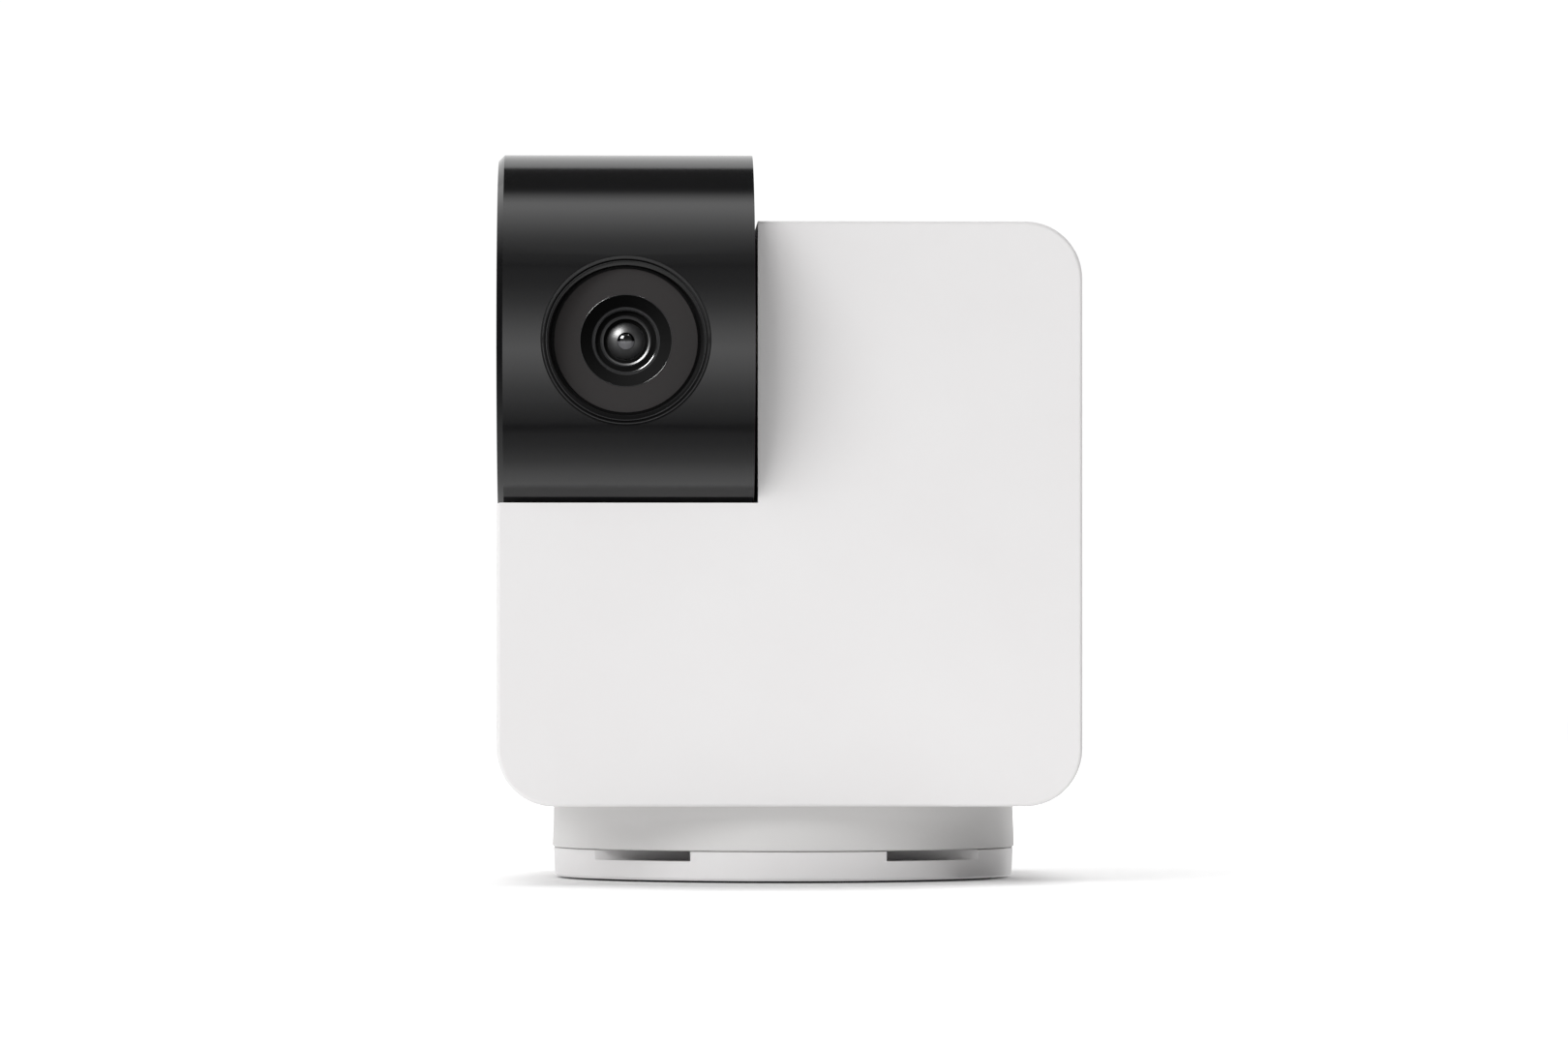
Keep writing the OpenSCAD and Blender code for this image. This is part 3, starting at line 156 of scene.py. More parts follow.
# %% White and creamy plastics
# White ABS with a fine satin grain: bright, even and soft in its highlights
white_abs = moulded_plastic("white ABS, satin moulded", "#f2f1f1", "#efeded", roughness=0.45, drift=0.04,
                            grain_mm=0.35, height_mm=0.004, specular=0.35)
# White ABS with a coarser eroded grain, greyed as painted shade: the neck sits in the shade under the body
# and is drawn a shade greyer than the body above it
white_abs_matt_painted_shade = moulded_plastic("white ABS, matt moulded, greyed as painted shade", "#e4e3e2", "#e0dfde", roughness=0.6, drift=0.05,
                                 grain_mm=0.5, height_mm=0.01)
# Natural acetal: creamy, slightly waxy, for gears and bearings
acetal = moulded_plastic("natural acetal, moulded", "#e9e5d8", "#e0dbcb", roughness=0.4, drift=0.06,
                         grain_mm=0.6, height_mm=0.003, ior=1.48)
print("pale plastics:", [m.name for m in (white_abs, white_abs_matt_painted_shade, acetal)])

# %% Black and grey plastics
# Black ABS from a polished mould: deep, with clear soft-edged reflections
black_abs_polished = moulded_plastic("black ABS, polished mould", "#131314", "#111112", roughness=0.13,
                                     drift=0.03, grain_mm=0.5, height_mm=0.0005)
# Smoke-tinted polycarbonate that passes infrared: flat, dark and slightly warm
smoke_polycarbonate = moulded_plastic("smoke polycarbonate, satin", "#2b2828", "#282626", roughness=0.55,
                                      drift=0.03, grain_mm=0.3, height_mm=0.002, ior=1.58, specular=0.1)
# Black ABS with an eroded matt grain: the insides of the optics, where gloss would do harm
black_abs_matt = moulded_plastic("black ABS, matt moulded", "#19191a", "#141415", roughness=0.5, drift=0.05,
                                 grain_mm=0.3, height_mm=0.004)
# Black ABS, eroded fine and dull, so that the ring around the lens stays dark beside the glossy barrel
black_abs_dull = moulded_plastic("black ABS, dull moulded", "#060607", "#040404", roughness=0.5, drift=0.04,
                                 grain_mm=0.3, height_mm=0.002, specular=0.12)
# Black ABS with a satin polish: thin edges that shine without a hard glint
black_abs_satin = moulded_plastic("black ABS, satin moulded", "#18181a", "#151516", roughness=0.34,
                                  drift=0.03, grain_mm=0.3, height_mm=0.0005)
# Dark grey ABS with a satin polish: the nose that holds the front lens, with one soft highlight
grey_abs_satin = moulded_plastic("dark grey ABS, satin moulded", "#202021", "#1c1c1d", roughness=0.4,
                                 drift=0.03, grain_mm=0.3, height_mm=0.001, specular=0.65)
# Nitrile rubber: dark, dull, with a dusty bloom
nitrile_rubber = moulded_plastic("nitrile rubber, moulded", "#4b4b4d", "#3d3d3f", roughness=0.75, drift=0.08,
                                 grain_mm=0.4, height_mm=0.012)
# Epoxy that chips are cast in: nearly black, a little blue, dull
chip_epoxy = moulded_plastic("black epoxy, moulded chip", "#26292d", "#202327", roughness=0.55, drift=0.06,
                             grain_mm=0.25, height_mm=0.006)
print("moulded materials:", len(bpy.data.materials))

# %% [markdown]
# ## Metals, boards and glass
# Screws and motor cans are zinc-plated steel, the tripod insert is turned brass and the weight in the
# base is rolled steel. What tells them apart is their colour and how their gloss wanders, so one
# recipe serves all three. A circuit board is a green lacquer over copper, so a pattern of tracks lies
# just under its gloss.

# %% Metals
STREAK_HEIGHT_MM = 0.002


def worked_metal(name, colour, roughness, drift, streak_mm):
    material, tree, place = new_material(name)
    streak = add(tree, "ShaderNodeTexNoise", {"Scale": 1 / (streak_mm * MM), "Detail": 4.0},
                 {"Vector": place})
    gloss = add(tree, "ShaderNodeMapRange", {"To Min": roughness - drift, "To Max": roughness + drift},
                {"Value": streak.outputs["Fac"]})
    bump = add(tree, "ShaderNodeBump", {"Strength": 0.4, "Distance": STREAK_HEIGHT_MM * MM},
               {"Height": streak.outputs["Fac"]})
    shader = add(tree, "ShaderNodeBsdfPrincipled", {"Base Color": linear(colour), "Metallic": 1.0},
                 {"Roughness": gloss.outputs["Result"], "Normal": bump.outputs["Normal"]})
    finish_with(tree, shader)
    return material


# Zinc is bluish and bright, brass is warm, and rolled steel is greyer and duller than both
zinc_steel = worked_metal("steel, bright zinc plated", "#c6c9cc", roughness=0.28, drift=0.08, streak_mm=0.4)
turned_brass = worked_metal("brass, turned", "#d3b06a", roughness=0.24, drift=0.08, streak_mm=0.25)
mild_steel = worked_metal("mild steel, rolled", "#9fa2a5", roughness=0.38, drift=0.1, streak_mm=0.9)
print("metals:", [m.name for m in (zinc_steel, turned_brass, mild_steel)])

# %% Circuit boards
TRACK_MM = 4
TRACK_HEIGHT_MM = 0.02
# Green solder mask on glass fibre: glossy, with paler lines where the copper tracks run
solder_mask, tree, place = new_material("glass-fibre board, green solder mask")
tracks = add(tree, "ShaderNodeTexBrick",
             {"Scale": 1 / (TRACK_MM * MM), "Mortar Size": 0.06, "Color1": linear("#1d5a3a"),
              "Color2": linear("#174d31"), "Mortar": linear("#2b7a4f")}, {"Vector": place})
track_step = add(tree, "ShaderNodeBump", {"Strength": 0.5, "Distance": TRACK_HEIGHT_MM * MM},
                 {"Height": tracks.outputs["Fac"]})
finish_with(tree, add(tree, "ShaderNodeBsdfPrincipled", {"Roughness": 0.3, "IOR": 1.55},
                      {"Base Color": tracks.outputs["Color"], "Normal": track_step.outputs["Normal"]}))
print("board material:", solder_mask.name)

# %% Glass inside the lens
# Small lenses inside: almost clear, with the faint violet sheen of an anti-reflection coating
coated_glass, tree, place = new_material("lens glass, polished and coated")
sheen = add(tree, "ShaderNodeLayerWeight", {"Blend": 0.35})
coating = add(tree, "ShaderNodeMix", {"A": linear("#c9cdd6"), "B": linear("#b9b2d6")},
              {"Factor": sheen.outputs["Facing"]}, data_type="RGBA")
finish_with(tree, add(tree, "ShaderNodeBsdfPrincipled",
                      {"Roughness": 0.03, "IOR": 1.52, "Transmission Weight": 0.85},
                      {"Base Color": coating.outputs["Result"]}))
print("all materials so far:", len(bpy.data.materials))

# %% [markdown]
# ## Finishes around the lens
# The black dish around the lens is one moulding, but not one finish: it is dull to swallow stray light,
# while its two fine beads are greyer and polished on the side that faces the lens. It could be split
# into pieces. Here one material reads the distance from the lens axis and changes with it, as the
# toolmaker polishes ring after ring. The front lens is dark, because little light comes back out of it.
# Its lower half is painted paler, as a painted reflection of the pale table below it.

# %% Dish
DISH_REACH = 7 * MM
DISH_GRAIN_MM = 0.3
DISH_GRAIN_HEIGHT_MM = 0.001
# Where each ring starts, in mm from the lens axis, with its colour and roughness
DISH_RINGS = [(0.0, "#030303", 0.85), (2.93, "#343435", 0.22), (3.09, "#343435", 0.75),
              (3.31, "#030303", 0.85), (3.97, "#343435", 0.18), (4.20, "#343435", 0.75),
              (4.42, "#040404", 0.85)]
ringed_abs, tree, place = new_material("black ABS, moulded dish with polished beads")
off_axis = add(tree, "ShaderNodeVectorMath", {1: (LENS_X, 0, HEAD_Z)}, {0: place}, operation="SUBTRACT")
flat = add(tree, "ShaderNodeVectorMath", {1: (1, 0, 1)}, {0: off_axis.outputs["Vector"]},
           operation="MULTIPLY")
radius = add(tree, "ShaderNodeVectorMath", links={0: flat.outputs["Vector"]}, operation="LENGTH")
share = add(tree, "ShaderNodeMapRange", {"From Max": DISH_REACH}, {"Value": radius.outputs["Value"]})
paint = add(tree, "ShaderNodeValToRGB", links={"Fac": share.outputs["Result"]})
polish = add(tree, "ShaderNodeValToRGB", links={"Fac": share.outputs["Result"]})
for ramp in (paint.color_ramp, polish.color_ramp):
    ramp.interpolation = "CONSTANT"
    while len(ramp.elements) < len(DISH_RINGS):
        ramp.elements.new(1.0)
for i, (start, colour, roughness) in enumerate(DISH_RINGS):
    for ramp, value in ((paint.color_ramp, linear(colour)), (polish.color_ramp, [roughness] * 3 + [1.0])):
        ramp.elements[i].position = start * MM / DISH_REACH
        ramp.elements[i].color = value
grain = add(tree, "ShaderNodeTexNoise", {"Scale": 1 / (DISH_GRAIN_MM * MM), "Detail": 2.0}, {"Vector": place})
bump = add(tree, "ShaderNodeBump", {"Strength": 1.0, "Distance": DISH_GRAIN_HEIGHT_MM * MM},
           {"Height": grain.outputs["Fac"]})
finish_with(tree, add(tree, "ShaderNodeBsdfPrincipled", {"IOR": 1.5, "Specular IOR Level": 0.06},
                      {"Base Color": paint.outputs["Color"], "Roughness": polish.outputs["Color"],
                       "Normal": bump.outputs["Normal"]}))
print("rings in the dish:", len(DISH_RINGS))

# %% Front lens
# The painted reflection of the pale table fills the lower half up to a hair below the lens axis, and the dark
# upper half starts a hair above it
PAINTED_REFLECTION_UP_TO = HEAD_Z - 0.08 * MM
DARK_FROM = HEAD_Z + 0.04 * MM
# Black front glass, polished and coated: mirror-smooth, so it catches lamps as hard white spots. The paler
# lower half of its colour is a painted reflection of the pale table
front_glass, tree, place = new_material("front lens glass, coated, with a painted reflection")
axis = add(tree, "ShaderNodeSeparateXYZ", links={"Vector": place})
upper = add(tree, "ShaderNodeMapRange", {"From Min": PAINTED_REFLECTION_UP_TO, "From Max": DARK_FROM},
            {"Value": axis.outputs["Z"]}, interpolation_type="SMOOTHSTEP")
painted_table_reflection = add(tree, "ShaderNodeMix", {"A": linear("#6a6a6d"), "B": linear("#050506")},
               {"Factor": upper.outputs["Result"]}, data_type="RGBA")
finish_with(tree, add(tree, "ShaderNodeBsdfPrincipled",
                      {"Roughness": 0.03, "IOR": 1.52, "Specular IOR Level": 0.3},
                      {"Base Color": painted_table_reflection.outputs["Result"]}))
print("lens materials:", ringed_abs.name, "and", front_glass.name)

# %% [markdown]
# ## A finish for every node
# A material could be given to each object by hand, but a table of finishes is easier to read and
# makes a forgotten node show up at once.

# %% Give each node its material
FINISHES = {
    white_abs: "base_plate body_shell rear_cover slide_washer",
    white_abs_matt_painted_shade: "neck_skirt",
    black_abs_polished: "head_shell head_end_cap",
    black_abs_dull: "lens_bezel",
    ringed_abs: "lens_hood",
    grey_abs_satin: "lens_barrel",
    smoke_polycarbonate: "face_window infrared_leds",
    black_abs_matt: "lens_holder speaker reset_switch reset_button",
    acetal: "pan_post pan_gear pan_bush tilt_bush pan_pinion tilt_pinion tilt_shaft tilt_gear",
    zinc_steel: "base_screws pan_gear_screws skirt_screws rear_screws pan_motor pan_motor_screws "
                "pan_motor_shaft tilt_motor tilt_motor_screws tilt_motor_shaft main_board_screws "
                "power_inlet power_board_screws microphone sensor_board_screws tilt_shaft_screws tilt_clip",
    mild_steel: "ballast_ring",
    turned_brass: "tripod_insert",
    nitrile_rubber: "foot_ring speaker_gasket",
    solder_mask: "main_board power_board sensor_board",
    chip_epoxy: "main_board_chips wifi_antenna image_sensor led_board",
    front_glass: "front_lens",
    coated_glass: "rear_lens infrared_filter",
}
finish_of = {node: material for material, nodes in FINISHES.items() for node in nodes.split()}
for name, obj in frame["nodes"].items():
    obj.data.materials.clear()
    obj.data.materials.append(finish_of[name])
print("finished nodes:", len(finish_of), "of", len(frame["nodes"]))

# %% [markdown]
# ## Helpers for new pieces
# A piece that is added here is first built as a loose mesh of points and faces, in rows that run round
# it. One function joins the rows, because the beads, the slopes and the thread are all such closed
# bands. Another turns the mesh into an object of the scene.

# %% Helpers for new pieces
def in_scene(name, data):
    obj = bpy.data.objects.new(name, data)
    bpy.context.scene.collection.objects.link(obj)
    return obj


def around(steps):
    return [2 * math.pi * i / steps for i in range(steps)]


def banded_piece(name, shape, rows, material, smooth=False):
    for i in range(len(rows)):
        here, there = rows[i - 1], rows[i]
        for k in range(len(here)):
            shape.faces.new((here[k - 1], here[k], there[k], there[k - 1])).smooth = smooth
    bmesh.ops.recalc_face_normals(shape, faces=shape.faces)
    mesh = bpy.data.meshes.new(name)
    shape.to_mesh(mesh)
    shape.free()
    mesh.materials.append(material)
    return in_scene(name, mesh)


def head_trim(name, shape, rows, material, smooth=False):
    obj = banded_piece(name, shape, rows, material, smooth)
    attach(obj, "tilt_head")
    return obj


# %% [markdown]
# ## Fine beads around the lens
# On the real head, three hair-thin rounded edges catch the light: the rim of the bezel, a line inside
# it, and the inner edge of the grey face. An edge that is cut sharp shows no such line. A bevel on the
# solids would change them, so each edge gets a thin round bead that is swept along it. The bezel follows
# the round barrel, so its beads rise and fall with the barrel's curve.

# %% Sweep a bead
BEAD_STEPS = 192
BEAD_SIDES = 12
TO_THE_FRONT = Vector((0, -1, 0))


def bead(name, ring_r, bead_r, height_at, material):
    path = []
    for turn in around(BEAD_STEPS):
        rise = ring_r * math.sin(turn)
        path.append(Vector((LENS_X + ring_r * math.cos(turn), HEAD_Y - height_at(rise), HEAD_Z + rise)))
    shape = bmesh.new()
    rows = []
    for i, point in enumerate(path):
        along = (path[(i + 1) % BEAD_STEPS] - path[i - 1]).normalized()
        out = along.cross(TO_THE_FRONT).normalized()
        front = out.cross(along)
        rows.append([shape.verts.new(point + bead_r * (math.cos(a) * out + math.sin(a) * front))
                     for a in around(BEAD_SIDES)])
    return head_trim(name, shape, rows, material, smooth=True)


def on_barrel(depth, highest):
    return lambda rise: min(math.sqrt((HEAD_R - depth) ** 2 - rise ** 2), highest)


print("points on a bead:", BEAD_STEPS * BEAD_SIDES)

# %% Place the three beads
RIM_RING_R = 10.82 * MM
RIM_BEAD_R = 0.08 * MM
RIM_DEPTH = 0.04 * MM
LINE_RING_R = 10.38 * MM
LINE_BEAD_R = 0.09 * MM
LINE_DEPTH = 0.38 * MM
EDGE_RING_R = 6.0 * MM
EDGE_BEAD_R = 0.06 * MM
EDGE_HEIGHT = 22.88 * MM
rim_height = on_barrel(RIM_DEPTH, HEAD_R - RIM_BEAD_R)
line_height = on_barrel(LINE_DEPTH, HEAD_R)
beads = [bead("bezel_rim_bead", RIM_RING_R, RIM_BEAD_R, rim_height, black_abs_satin),
         bead("bezel_line_bead", LINE_RING_R, LINE_BEAD_R, line_height, black_abs_satin),
         bead("face_edge_bead", EDGE_RING_R, EDGE_BEAD_R, lambda rise: EDGE_HEIGHT, black_abs_polished)]
print("beads:", [b.name for b in beads])

# %% [markdown]
# ## Polished slopes in the dish
# The beads of the dish have a polished slope towards the lens. The inner one catches the main lamp as a
# broad white curve, the outer one as a short streak. A round bead would catch it only as a thread. So a
# ring with a sloping face lies on each. It is quickly made by turning a small outline about the lens axis.

# %% Turn the polished slopes
# Corners of each outline as distance from the lens axis and height above the tilt axis
INNER_SLOPE_MM = [(2.93, 21.26), (3.17, 21.40), (3.22, 21.32), (3.10, 21.00), (2.96, 21.00)]
OUTER_SLOPE_MM = [(4.02, 21.645), (4.12, 21.705), (4.16, 21.67), (4.15, 21.40), (4.03, 21.40)]
SLOPE_STEPS = 128


def turned_ring(name, outline_mm, material):
    shape = bmesh.new()
    rows = []
    for turn in around(SLOPE_STEPS):
        right, up = math.cos(turn), math.sin(turn)
        rows.append([shape.verts.new((LENS_X + r * MM * right, HEAD_Y - height * MM, HEAD_Z + r * MM * up))
                     for r, height in outline_mm])
    return head_trim(name, shape, rows, material)


slopes = [turned_ring("dish_inner_slope", INNER_SLOPE_MM, grey_abs_satin),
          turned_ring("dish_outer_slope", OUTER_SLOPE_MM, black_abs_polished)]
print("slopes:", [s.name for s in slopes])

# %% [markdown]
# ## The tripod thread
# A brass insert under the base takes a tripod screw. The solid has a plain bore at the thread's core,
# because that is what a fit is checked against. For the eye the thread is cut here: the bore is a grid
# of points around the axis, and each point's radius follows the turn it lies on. A spiral that is cut
# from a solid would give the same, but slower and with untidy faces.

# %% Cut the thread
THREAD_PITCH = 1.27 * MM
THREAD_CORE_R = 2.55 * MM
THREAD_DEPTH = 0.6 * MM
MOUTH_R = 3.4 * MM
THREAD_SIDES = 72
THREAD_LAYERS = 100
# Shares of a turn: how long the bore stays at the core, and how long each flank takes
CORE_SHARE = 0.2
FLANK_SHARE = 0.3


def groove(share):
    return min(max(min(share - CORE_SHARE, 1.0 - share) / FLANK_SHARE, 0.0), 1.0)


insert_low, insert_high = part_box("tripod_insert")
insert_r = insert_high.x
shape = bmesh.new()
rows = []
for layer in range(THREAD_LAYERS + 1):
    z = insert_low.z + (insert_high.z - insert_low.z) * layer / THREAD_LAYERS
    row = []
    for side, angle in enumerate(around(THREAD_SIDES)):
        depth = groove((z / THREAD_PITCH - side / THREAD_SIDES) % 1.0) * THREAD_DEPTH
        r = max(THREAD_CORE_R + depth, MOUTH_R - (z - insert_low.z))
        row.append(shape.verts.new((r * math.cos(angle), r * math.sin(angle), z)))
    rows.append(row)
for z in (insert_high.z, insert_low.z):
    rows.append([shape.verts.new((insert_r * math.cos(angle), insert_r * math.sin(angle), z))
                 for angle in around(THREAD_SIDES)])
thread = banded_piece("tripod_thread", shape, rows, turned_brass)
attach(thread, "base")
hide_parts("tripod_insert")
print("turns of thread:", round((insert_high.z - insert_low.z) / THREAD_PITCH, 1))

# %% [markdown]
# ## Floor and backdrop
# The photograph shows the camera on plain white. A white floor carries the soft contact shadow. Its paper
# glows
# as painted light: right beside the base the glow lifts the contact shadow, and away from the object it
# glows like a light table, so that it stays white up to the horizon. A glowing backdrop makes the white
# behind it. The floor is kept out of mirror reflections, because the black head in the photograph
# reflects lit cards with dark studio between them, not a white table.

# %% Sheets of the studio
def corners_between(start, end):
    # A level or upright sheet lies flat in one axis and reaches along the other two
    first, second = [axis for axis in range(3) if start[axis] != end[axis]]
    along_first, along_second = list(start), list(start)
    along_first[first] = end[first]
    along_second[second] = end[second]
    return [start, along_first, end, along_second]


def sheet(name, corners, material):
    mesh = bpy.data.meshes.new(name)
    mesh.from_pydata(corners, [], [(0, 1, 2, 3)])
    mesh.materials.append(material)
    obj = in_scene(name, mesh)
    return obj


print("corners of a unit sheet:", corners_between((0, 0, 0), (1, 1, 0)))

# %% Floor
STAGE_HALF_WIDTH = 6
FLOOR_FRONT_Y = -6
BACKDROP_Y = 4
FIBRE_MM = 2
# Distances from the middle, in metres, between which the glow comes in: first beside the base, then far out.
# The near one is stretched to the front and the back, and stands a little to the left
# The near glow is painted light: it lifts the contact shadow right beside the base
NEAR_GLOW_FROM = 0.028
NEAR_GLOW_TO = 0.046
NEAR_GLOW_SCALE = (1, 0.62, 0)
NEAR_GLOW_SHIFT = (0.001, 0, 0)
NEAR_GLOW_LEVEL = 0.35
FAR_GLOW_FROM = 0.045
FAR_GLOW_TO = 0.2
# The far glow as the eye sees it, and as it lights other things
FAR_GLOW_SEEN = 0.5
FAR_GLOW_CAST = 0.1
floor_paper, tree, place = new_material("studio paper, white, glowing as painted light")
fibre = add(tree, "ShaderNodeTexNoise", {"Scale": 1 / (FIBRE_MM * MM), "Detail": 3.0}, {"Vector": place})
paper_tint = add(tree, "ShaderNodeMix", {"A": linear("#fafafa"), "B": linear("#f7f7f7")},
                 {"Factor": fibre.outputs["Fac"]}, data_type="RGBA")
beside = add(tree, "ShaderNodeVectorMath", {1: NEAR_GLOW_SCALE, 2: NEAR_GLOW_SHIFT}, {0: place},
             operation="MULTIPLY_ADD")
near_reach = add(tree, "ShaderNodeVectorMath", links={0: beside.outputs["Vector"]}, operation="LENGTH")
near_glow = add(tree, "ShaderNodeMapRange",
                {"From Min": NEAR_GLOW_FROM, "From Max": NEAR_GLOW_TO, "To Max": NEAR_GLOW_LEVEL},
                {"Value": near_reach.outputs["Value"]}, interpolation_type="SMOOTHSTEP")
path = add(tree, "ShaderNodeLightPath")
far_level = add(tree, "ShaderNodeMapRange", {"To Min": FAR_GLOW_SEEN, "To Max": FAR_GLOW_CAST},
                {"Value": path.outputs["Is Diffuse Ray"]})
far_reach = add(tree, "ShaderNodeVectorMath", links={0: place}, operation="LENGTH")
far_glow = add(tree, "ShaderNodeMapRange", {"From Min": FAR_GLOW_FROM, "From Max": FAR_GLOW_TO},
               {"Value": far_reach.outputs["Value"], "To Max": far_level.outputs["Result"]},
               interpolation_type="SMOOTHSTEP")
glow = add(tree, "ShaderNodeMath", links={0: near_glow.outputs["Result"], 1: far_glow.outputs["Result"]},
           operation="ADD")
paper = add(tree, "ShaderNodeBsdfDiffuse", links={"Color": paper_tint.outputs["Result"]})
lit_paper = add(tree, "ShaderNodeEmission", links={"Strength": glow.outputs["Value"]})
finish_with(tree, add(tree, "ShaderNodeAddShader", links={0: paper.outputs[0], 1: lit_paper.outputs[0]}))
floor_paper.cycles.emission_sampling = "NONE"
floor_corners = corners_between((-STAGE_HALF_WIDTH, FLOOR_FRONT_Y, 0), (STAGE_HALF_WIDTH, BACKDROP_Y, 0))
floor = sheet("floor", floor_corners, floor_paper)
floor.visible_glossy = False
print("floor in metres:", [round(s, 2) for s in floor.dimensions])

# %% Backdrop
BACKDROP_LOW_Z = -4.5
BACKDROP_HIGH_Z = 4.3
# To the eye the backdrop is white, but it lights the back of the camera less, so that its form still shows
BACKDROP_SEEN = 1.03
BACKDROP_CAST = 0.3
backdrop_glow, tree, place = new_material("backdrop, lit from behind")
path = add(tree, "ShaderNodeLightPath")
dimmed = add(tree, "ShaderNodeMapRange", {"To Min": BACKDROP_SEEN, "To Max": BACKDROP_CAST},
             {"Value": path.outputs["Is Diffuse Ray"]})
finish_with(tree, add(tree, "ShaderNodeEmission", links={"Strength": dimmed.outputs["Result"]}))
backdrop_glow.cycles.emission_sampling = "NONE"
backdrop_corners = corners_between((-STAGE_HALF_WIDTH, BACKDROP_Y, BACKDROP_LOW_Z),
                                   (STAGE_HALF_WIDTH, BACKDROP_Y, BACKDROP_HIGH_Z))
backdrop = sheet("backdrop", backdrop_corners, backdrop_glow)
print("backdrop in metres:", [round(s, 2) for s in backdrop.dimensions])

# %% [markdown]
# ## A flag on the floor
# The white floor throws light up at the base, but in the photograph the base's right flank is in shade.
# A photographer lays a piece of black cloth there. This one doesn't show in the picture: it takes away half
# of the light that the floor sends up to the flank, and lets all the light through to the floor below.

# %% Flag
FLAG_CORNERS_MM = [(20, -35, 0.5), (75, -35, 0.5), (75, -10, 0.5), (25, -10, 0.5)]
FLAG_SHARE = 0.5
flag_cloth, tree, place = new_material("flag cloth, black")
side = add(tree, "ShaderNodeNewGeometry")
open_share = add(tree, "ShaderNodeMapRange", {"To Min": 1 - FLAG_SHARE, "To Max": 1.0},
                 {"Value": side.outputs["Backfacing"]})
cloth = add(tree, "ShaderNodeBsdfDiffuse", {"Color": linear("#050505")})
clear = add(tree, "ShaderNodeBsdfTransparent")
finish_with(tree, add(tree, "ShaderNodeMixShader",
                      links={0: open_share.outputs["Result"], 1: cloth.outputs[0], 2: clear.outputs[0]}))
flag = sheet("flag", [Vector(corner) * MM for corner in FLAG_CORNERS_MM], flag_cloth)
flag.visible_camera = False
flag.visible_glossy = False
flag.visible_transmission = False
flag.visible_shadow = False
print("flag in mm:", [round(s / MM) for s in flag.dimensions])

# %% [markdown]
# ## Cards that the black head reflects
# A glossy barrel works like a curved mirror: each lit card shows on it as a band along its length.
# The photograph has a band from above, a broad soft one from around the camera and one from below,
# each fading towards one side. So each card is a sheet whose glow follows a few stops, and it shows
# in reflections only. What lights the white body comes later, and the two can be set one by one.

# %% Recipe for a card
def reflection_card(name, start, end, along, stops):
    material, tree, place = new_material(name)
    axis = add(tree, "ShaderNodeSeparateXYZ", links={"Vector": place})
    number = "XYZ".index(along)
    share = add(tree, "ShaderNodeMapRange", {"From Min": start[number], "From Max": end[number]},
                {"Value": axis.outputs[along]})
    ramp = add(tree, "ShaderNodeValToRGB", links={"Fac": share.outputs["Result"]})
    brightest = max(level for at, level in stops)
    elements = ramp.color_ramp.elements
    while len(elements) < len(stops):
        elements.new(0.5)
    for element, (at, level) in zip(elements, stops):
        element.position = at
        element.color = [level / brightest] * 3 + [1.0]
    glow = add(tree, "ShaderNodeEmission", {"Strength": brightest}, {"Color": ramp.outputs["Color"]})
    finish_with(tree, glow)
    material.cycles.emission_sampling = "NONE"
    card = sheet(name, corners_between(start, end), material)
    card.visible_camera = False
    card.visible_diffuse = False
    card.visible_shadow = False
    return card


# %% Hang the cards
CARD_HALF_WIDTH = 2.5
ABOVE_Z = HEAD_Z + 1.0
BELOW_Z = HEAD_Z - 1.0
CAMERA_CARD_Y = -1.4
LEFT_CARD_X = -3
# Each stop is the share of the way along the card and how bright it is there
ABOVE_STOPS = [(0.04, 0.1), (0.14, 1.3), (0.20, 2.0), (0.27, 2.05), (0.42, 1.55), (0.62, 0.8), (0.82, 0.35),
               (1.0, 0.25)]
BELOW_STOPS = [(0.0, 1.5), (0.30, 1.5), (0.45, 1.15), (0.58, 0.7), (0.80, 0.35), (1.0, 0.25)]
CAMERA_STOPS = [(0.03, 0.25), (0.16, 0.5), (0.28, 0.85), (0.39, 1.45), (0.48, 1.95), (0.56, 1.55),
                (0.64, 1.0), (0.72, 0.6), (0.83, 0.33), (0.97, 0.25)]
# The bevelled rim at the head's left end mirrors what stands beside it: pale above and below, dark between
LEFT_STOPS = [(0.1, 0.7), (0.14, 0.9), (0.26, 0.5), (0.38, 0.2), (0.5, 0.02), (0.75, 0.02), (0.81, 0.45),
              (0.86, 0.9), (0.92, 1.4)]
w = CARD_HALF_WIDTH
# The corners in metres where each card starts and ends, the axis that its stops follow, and the stops
CARDS = {
    "card above": ((-w, 0.27, ABOVE_Z), (w, -0.92, ABOVE_Z), "Y", ABOVE_STOPS),
    "card below": ((-w, 0.3, BELOW_Z), (w, -0.80, BELOW_Z), "Y", BELOW_STOPS),
    "card around the camera": ((-w, CAMERA_CARD_Y, -1.45), (w, CAMERA_CARD_Y, 1.55), "Z", CAMERA_STOPS),
    "card on the left": ((LEFT_CARD_X, -0.5, -3), (LEFT_CARD_X, 4, 3), "Z", LEFT_STOPS),
}
cards = [reflection_card(name, *card) for name, card in CARDS.items()]
print("cards:", [card.name for card in cards])

# %% [markdown]
# ## Lamps on the lens
# Two lamps show as white spots on the front lens and as curves on the nose and the slopes around it. As
# cards they would show on the whole camera. A light can be linked to chosen objects instead, so these
# two shine on the lens and its dish alone, and only as reflections.

# %% Lamps on the lens
LENS_PIECES = ("lens_bezel face_window lens_hood lens_barrel front_lens face_edge_bead dish_inner_slope "
               "dish_outer_slope")
LAMPS_AIM_AT = Vector((LENS_X, -42 * MM, HEAD_Z))
LAMP_LEVEL = 50


def receivers(name, pieces):
    lit = bpy.data.collections.new(name)
    for piece in pieces.split():
        lit.objects.link(bpy.data.objects[piece])
    return lit


def area_light(name, width, height, watts):
    lamp = bpy.data.lights.new(name, "AREA")
    lamp.shape = "RECTANGLE"
    lamp.size = width
    lamp.size_y = height
    lamp.energy = watts
    light = in_scene(name, lamp)
    light.visible_camera = False
    return light


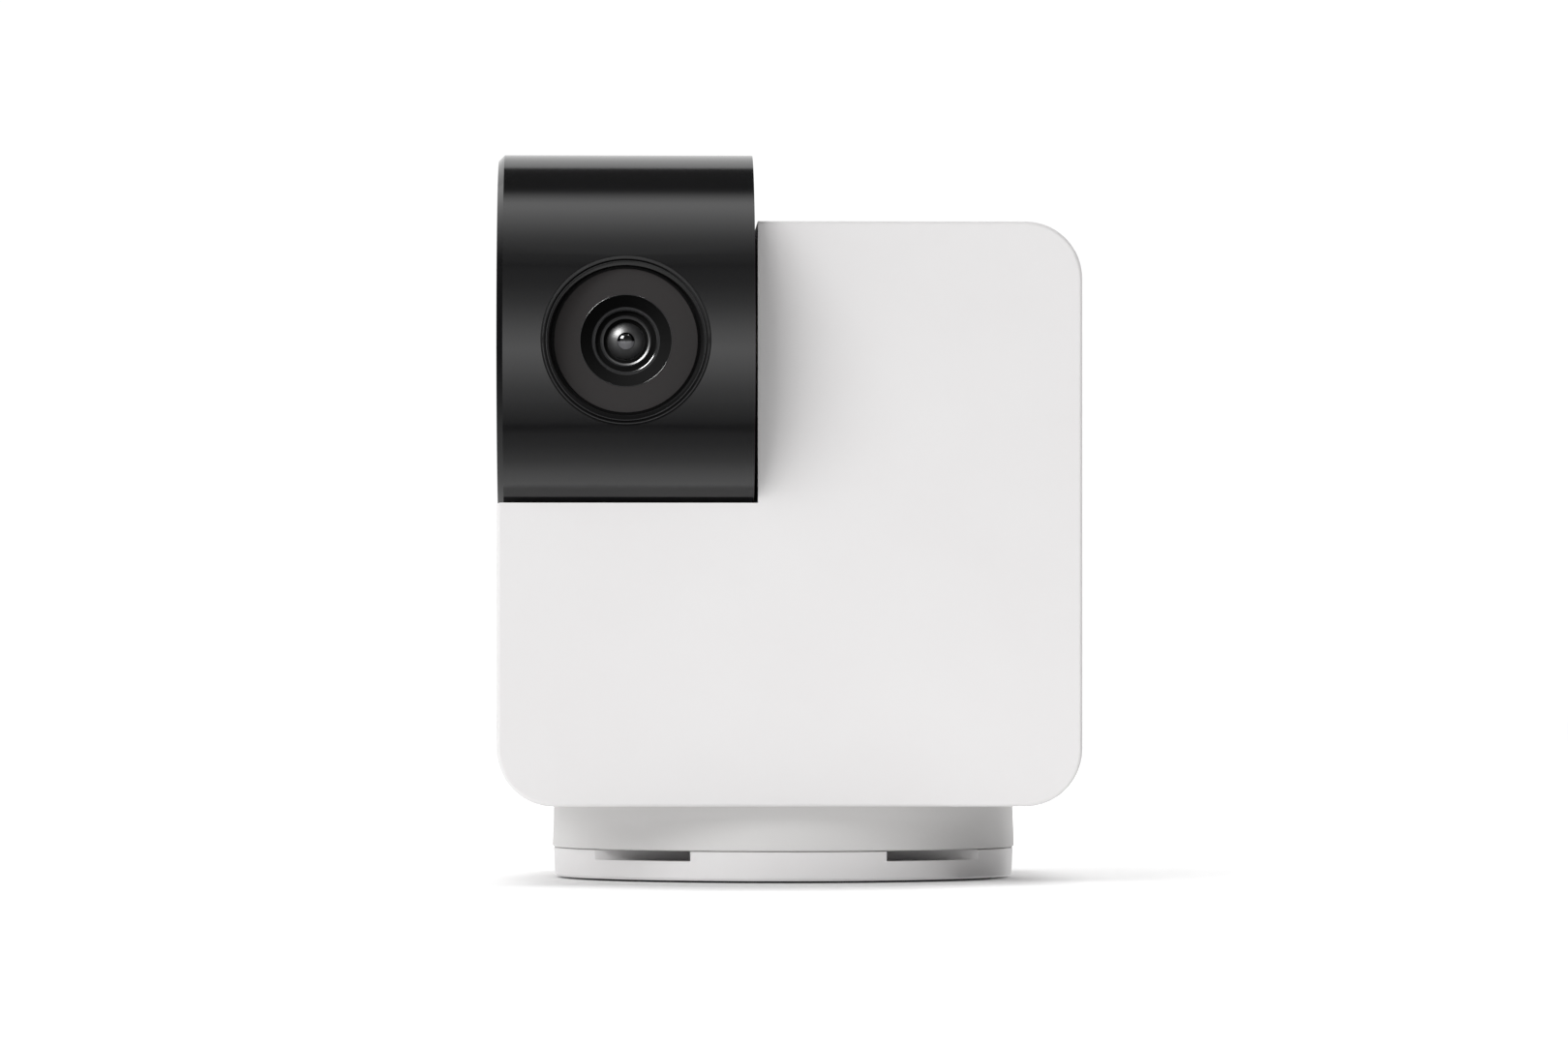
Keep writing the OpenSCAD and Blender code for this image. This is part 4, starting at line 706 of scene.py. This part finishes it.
def lens_lamp(name, direction, distance, size):
    # The power of an area light grows with its area, so that a lamp of any size is equally bright
    light = area_light(name, size, size, LAMP_LEVEL * math.pi * size ** 2)
    towards = Vector(direction).normalized()
    light.location = LAMPS_AIM_AT + distance * towards
    light.rotation_euler = towards.to_track_quat("Z", "Y").to_euler()
    light.visible_diffuse = False
    light.light_linking.receiver_collection = lens_set


lens_set = receivers("lens and dish", LENS_PIECES)
lens_lamp("large lamp on the lens", (-0.568, -0.469, 0.676), distance=1.2, size=0.64)
lens_lamp("small lamp on the lens", (0.35, -0.222, 0.91), distance=0.9, size=0.11)

# %% [markdown]
# ## Lights for the white body
# The front is even, the base is darker to the right, and the head's shadow falls to the lower right.
# So the main light stands in front, to the left and well above. Weaker ones stand at the left, behind on
# the right and overhead. They leave no mirror images of their own, because the cards already give the
# reflections. A thin strip low in front evens out the lower end of the white pieces. It is linked to
# them, so that it leaves the floor alone.

# %% Softboxes
def softbox(name, place_mm, aim_mm, width_mm, height_mm, watts):
    light = area_light(name, width_mm * MM, height_mm * MM, watts)
    light.location = Vector(place_mm) * MM
    light.rotation_euler = (Vector(aim_mm) - Vector(place_mm)).to_track_quat("-Z", "Y").to_euler()
    light.visible_glossy = False
    return light


MIDDLE_MM = (0, 0, 50)
softbox("main light", (-1200, -1480, 1120), MIDDLE_MM, width_mm=1800, height_mm=1100, watts=26.1)
softbox("side light left", (-1200, 250, 300), MIDDLE_MM, width_mm=700, height_mm=500, watts=1.7)
softbox("rim light right", (700, 1100, 300), MIDDLE_MM, width_mm=500, height_mm=500, watts=7)
softbox("overhead light", (0, 200, 1300), MIDDLE_MM, width_mm=1200, height_mm=900, watts=7)
strip = softbox("low strip in front", (0, -68, 14), (0, -35, 14), width_mm=80, height_mm=6, watts=0.0018)
strip.light_linking.receiver_collection = receivers("white pieces", "body_shell neck_skirt base_plate")

# %% [markdown]
# ## The air of the studio
# Beyond the sheets the eye sees plain white. As a light, the same white would wash out every shadow. So
# only the rays that leave the camera see it, and for all others the air is nearly dark.

# %% World
WORLD_SEEN = 1.0
WORLD_CAST = 0.06
world = bpy.data.worlds.new("studio")
world.use_nodes = True
tree = world.node_tree
path = add(tree, "ShaderNodeLightPath")
air = add(tree, "ShaderNodeMapRange", {"To Min": WORLD_CAST, "To Max": WORLD_SEEN},
          {"Value": path.outputs["Is Camera Ray"]})
tree.links.new(air.outputs["Result"], tree.nodes["Background"].inputs["Strength"])
tree.nodes["Background"].inputs["Color"].default_value = linear("#ffffff")
bpy.context.scene.world = world
bpy.context.scene.view_settings.view_transform = "Standard"
print("world:", world.name, "with", bpy.context.scene.view_settings.view_transform, "colours")

# %% [markdown]
# ## Camera
# The viewpoint was worked out from straight edges of the body and the round base: the camera stands
# almost a metre away, a little to the left and low. A shift lens keeps the upright edges upright.

# %% Camera
PHOTO_W_PX = 1620
PHOTO_H_PX = 1080
FOCAL_PX = 7236.5
HORIZON_PX = 705.54
CAMERA_MM = (-23.708, -954.934, 26.513)
CAMERA_TURN_DEG = -1.4282
view = bpy.data.cameras.new("view")
view.sensor_fit = "HORIZONTAL"
view.sensor_width = 36.0
view.lens = FOCAL_PX * view.sensor_width / PHOTO_W_PX
view.shift_y = (HORIZON_PX - PHOTO_H_PX / 2) / PHOTO_W_PX
camera = in_scene("camera", view)
camera.location = Vector(CAMERA_MM) * MM
camera.rotation_euler = (math.radians(90), 0, math.radians(CAMERA_TURN_DEG))
bpy.context.scene.camera = camera
print("lens in mm:", round(view.lens, 1), "shift:", round(view.shift_y, 4))
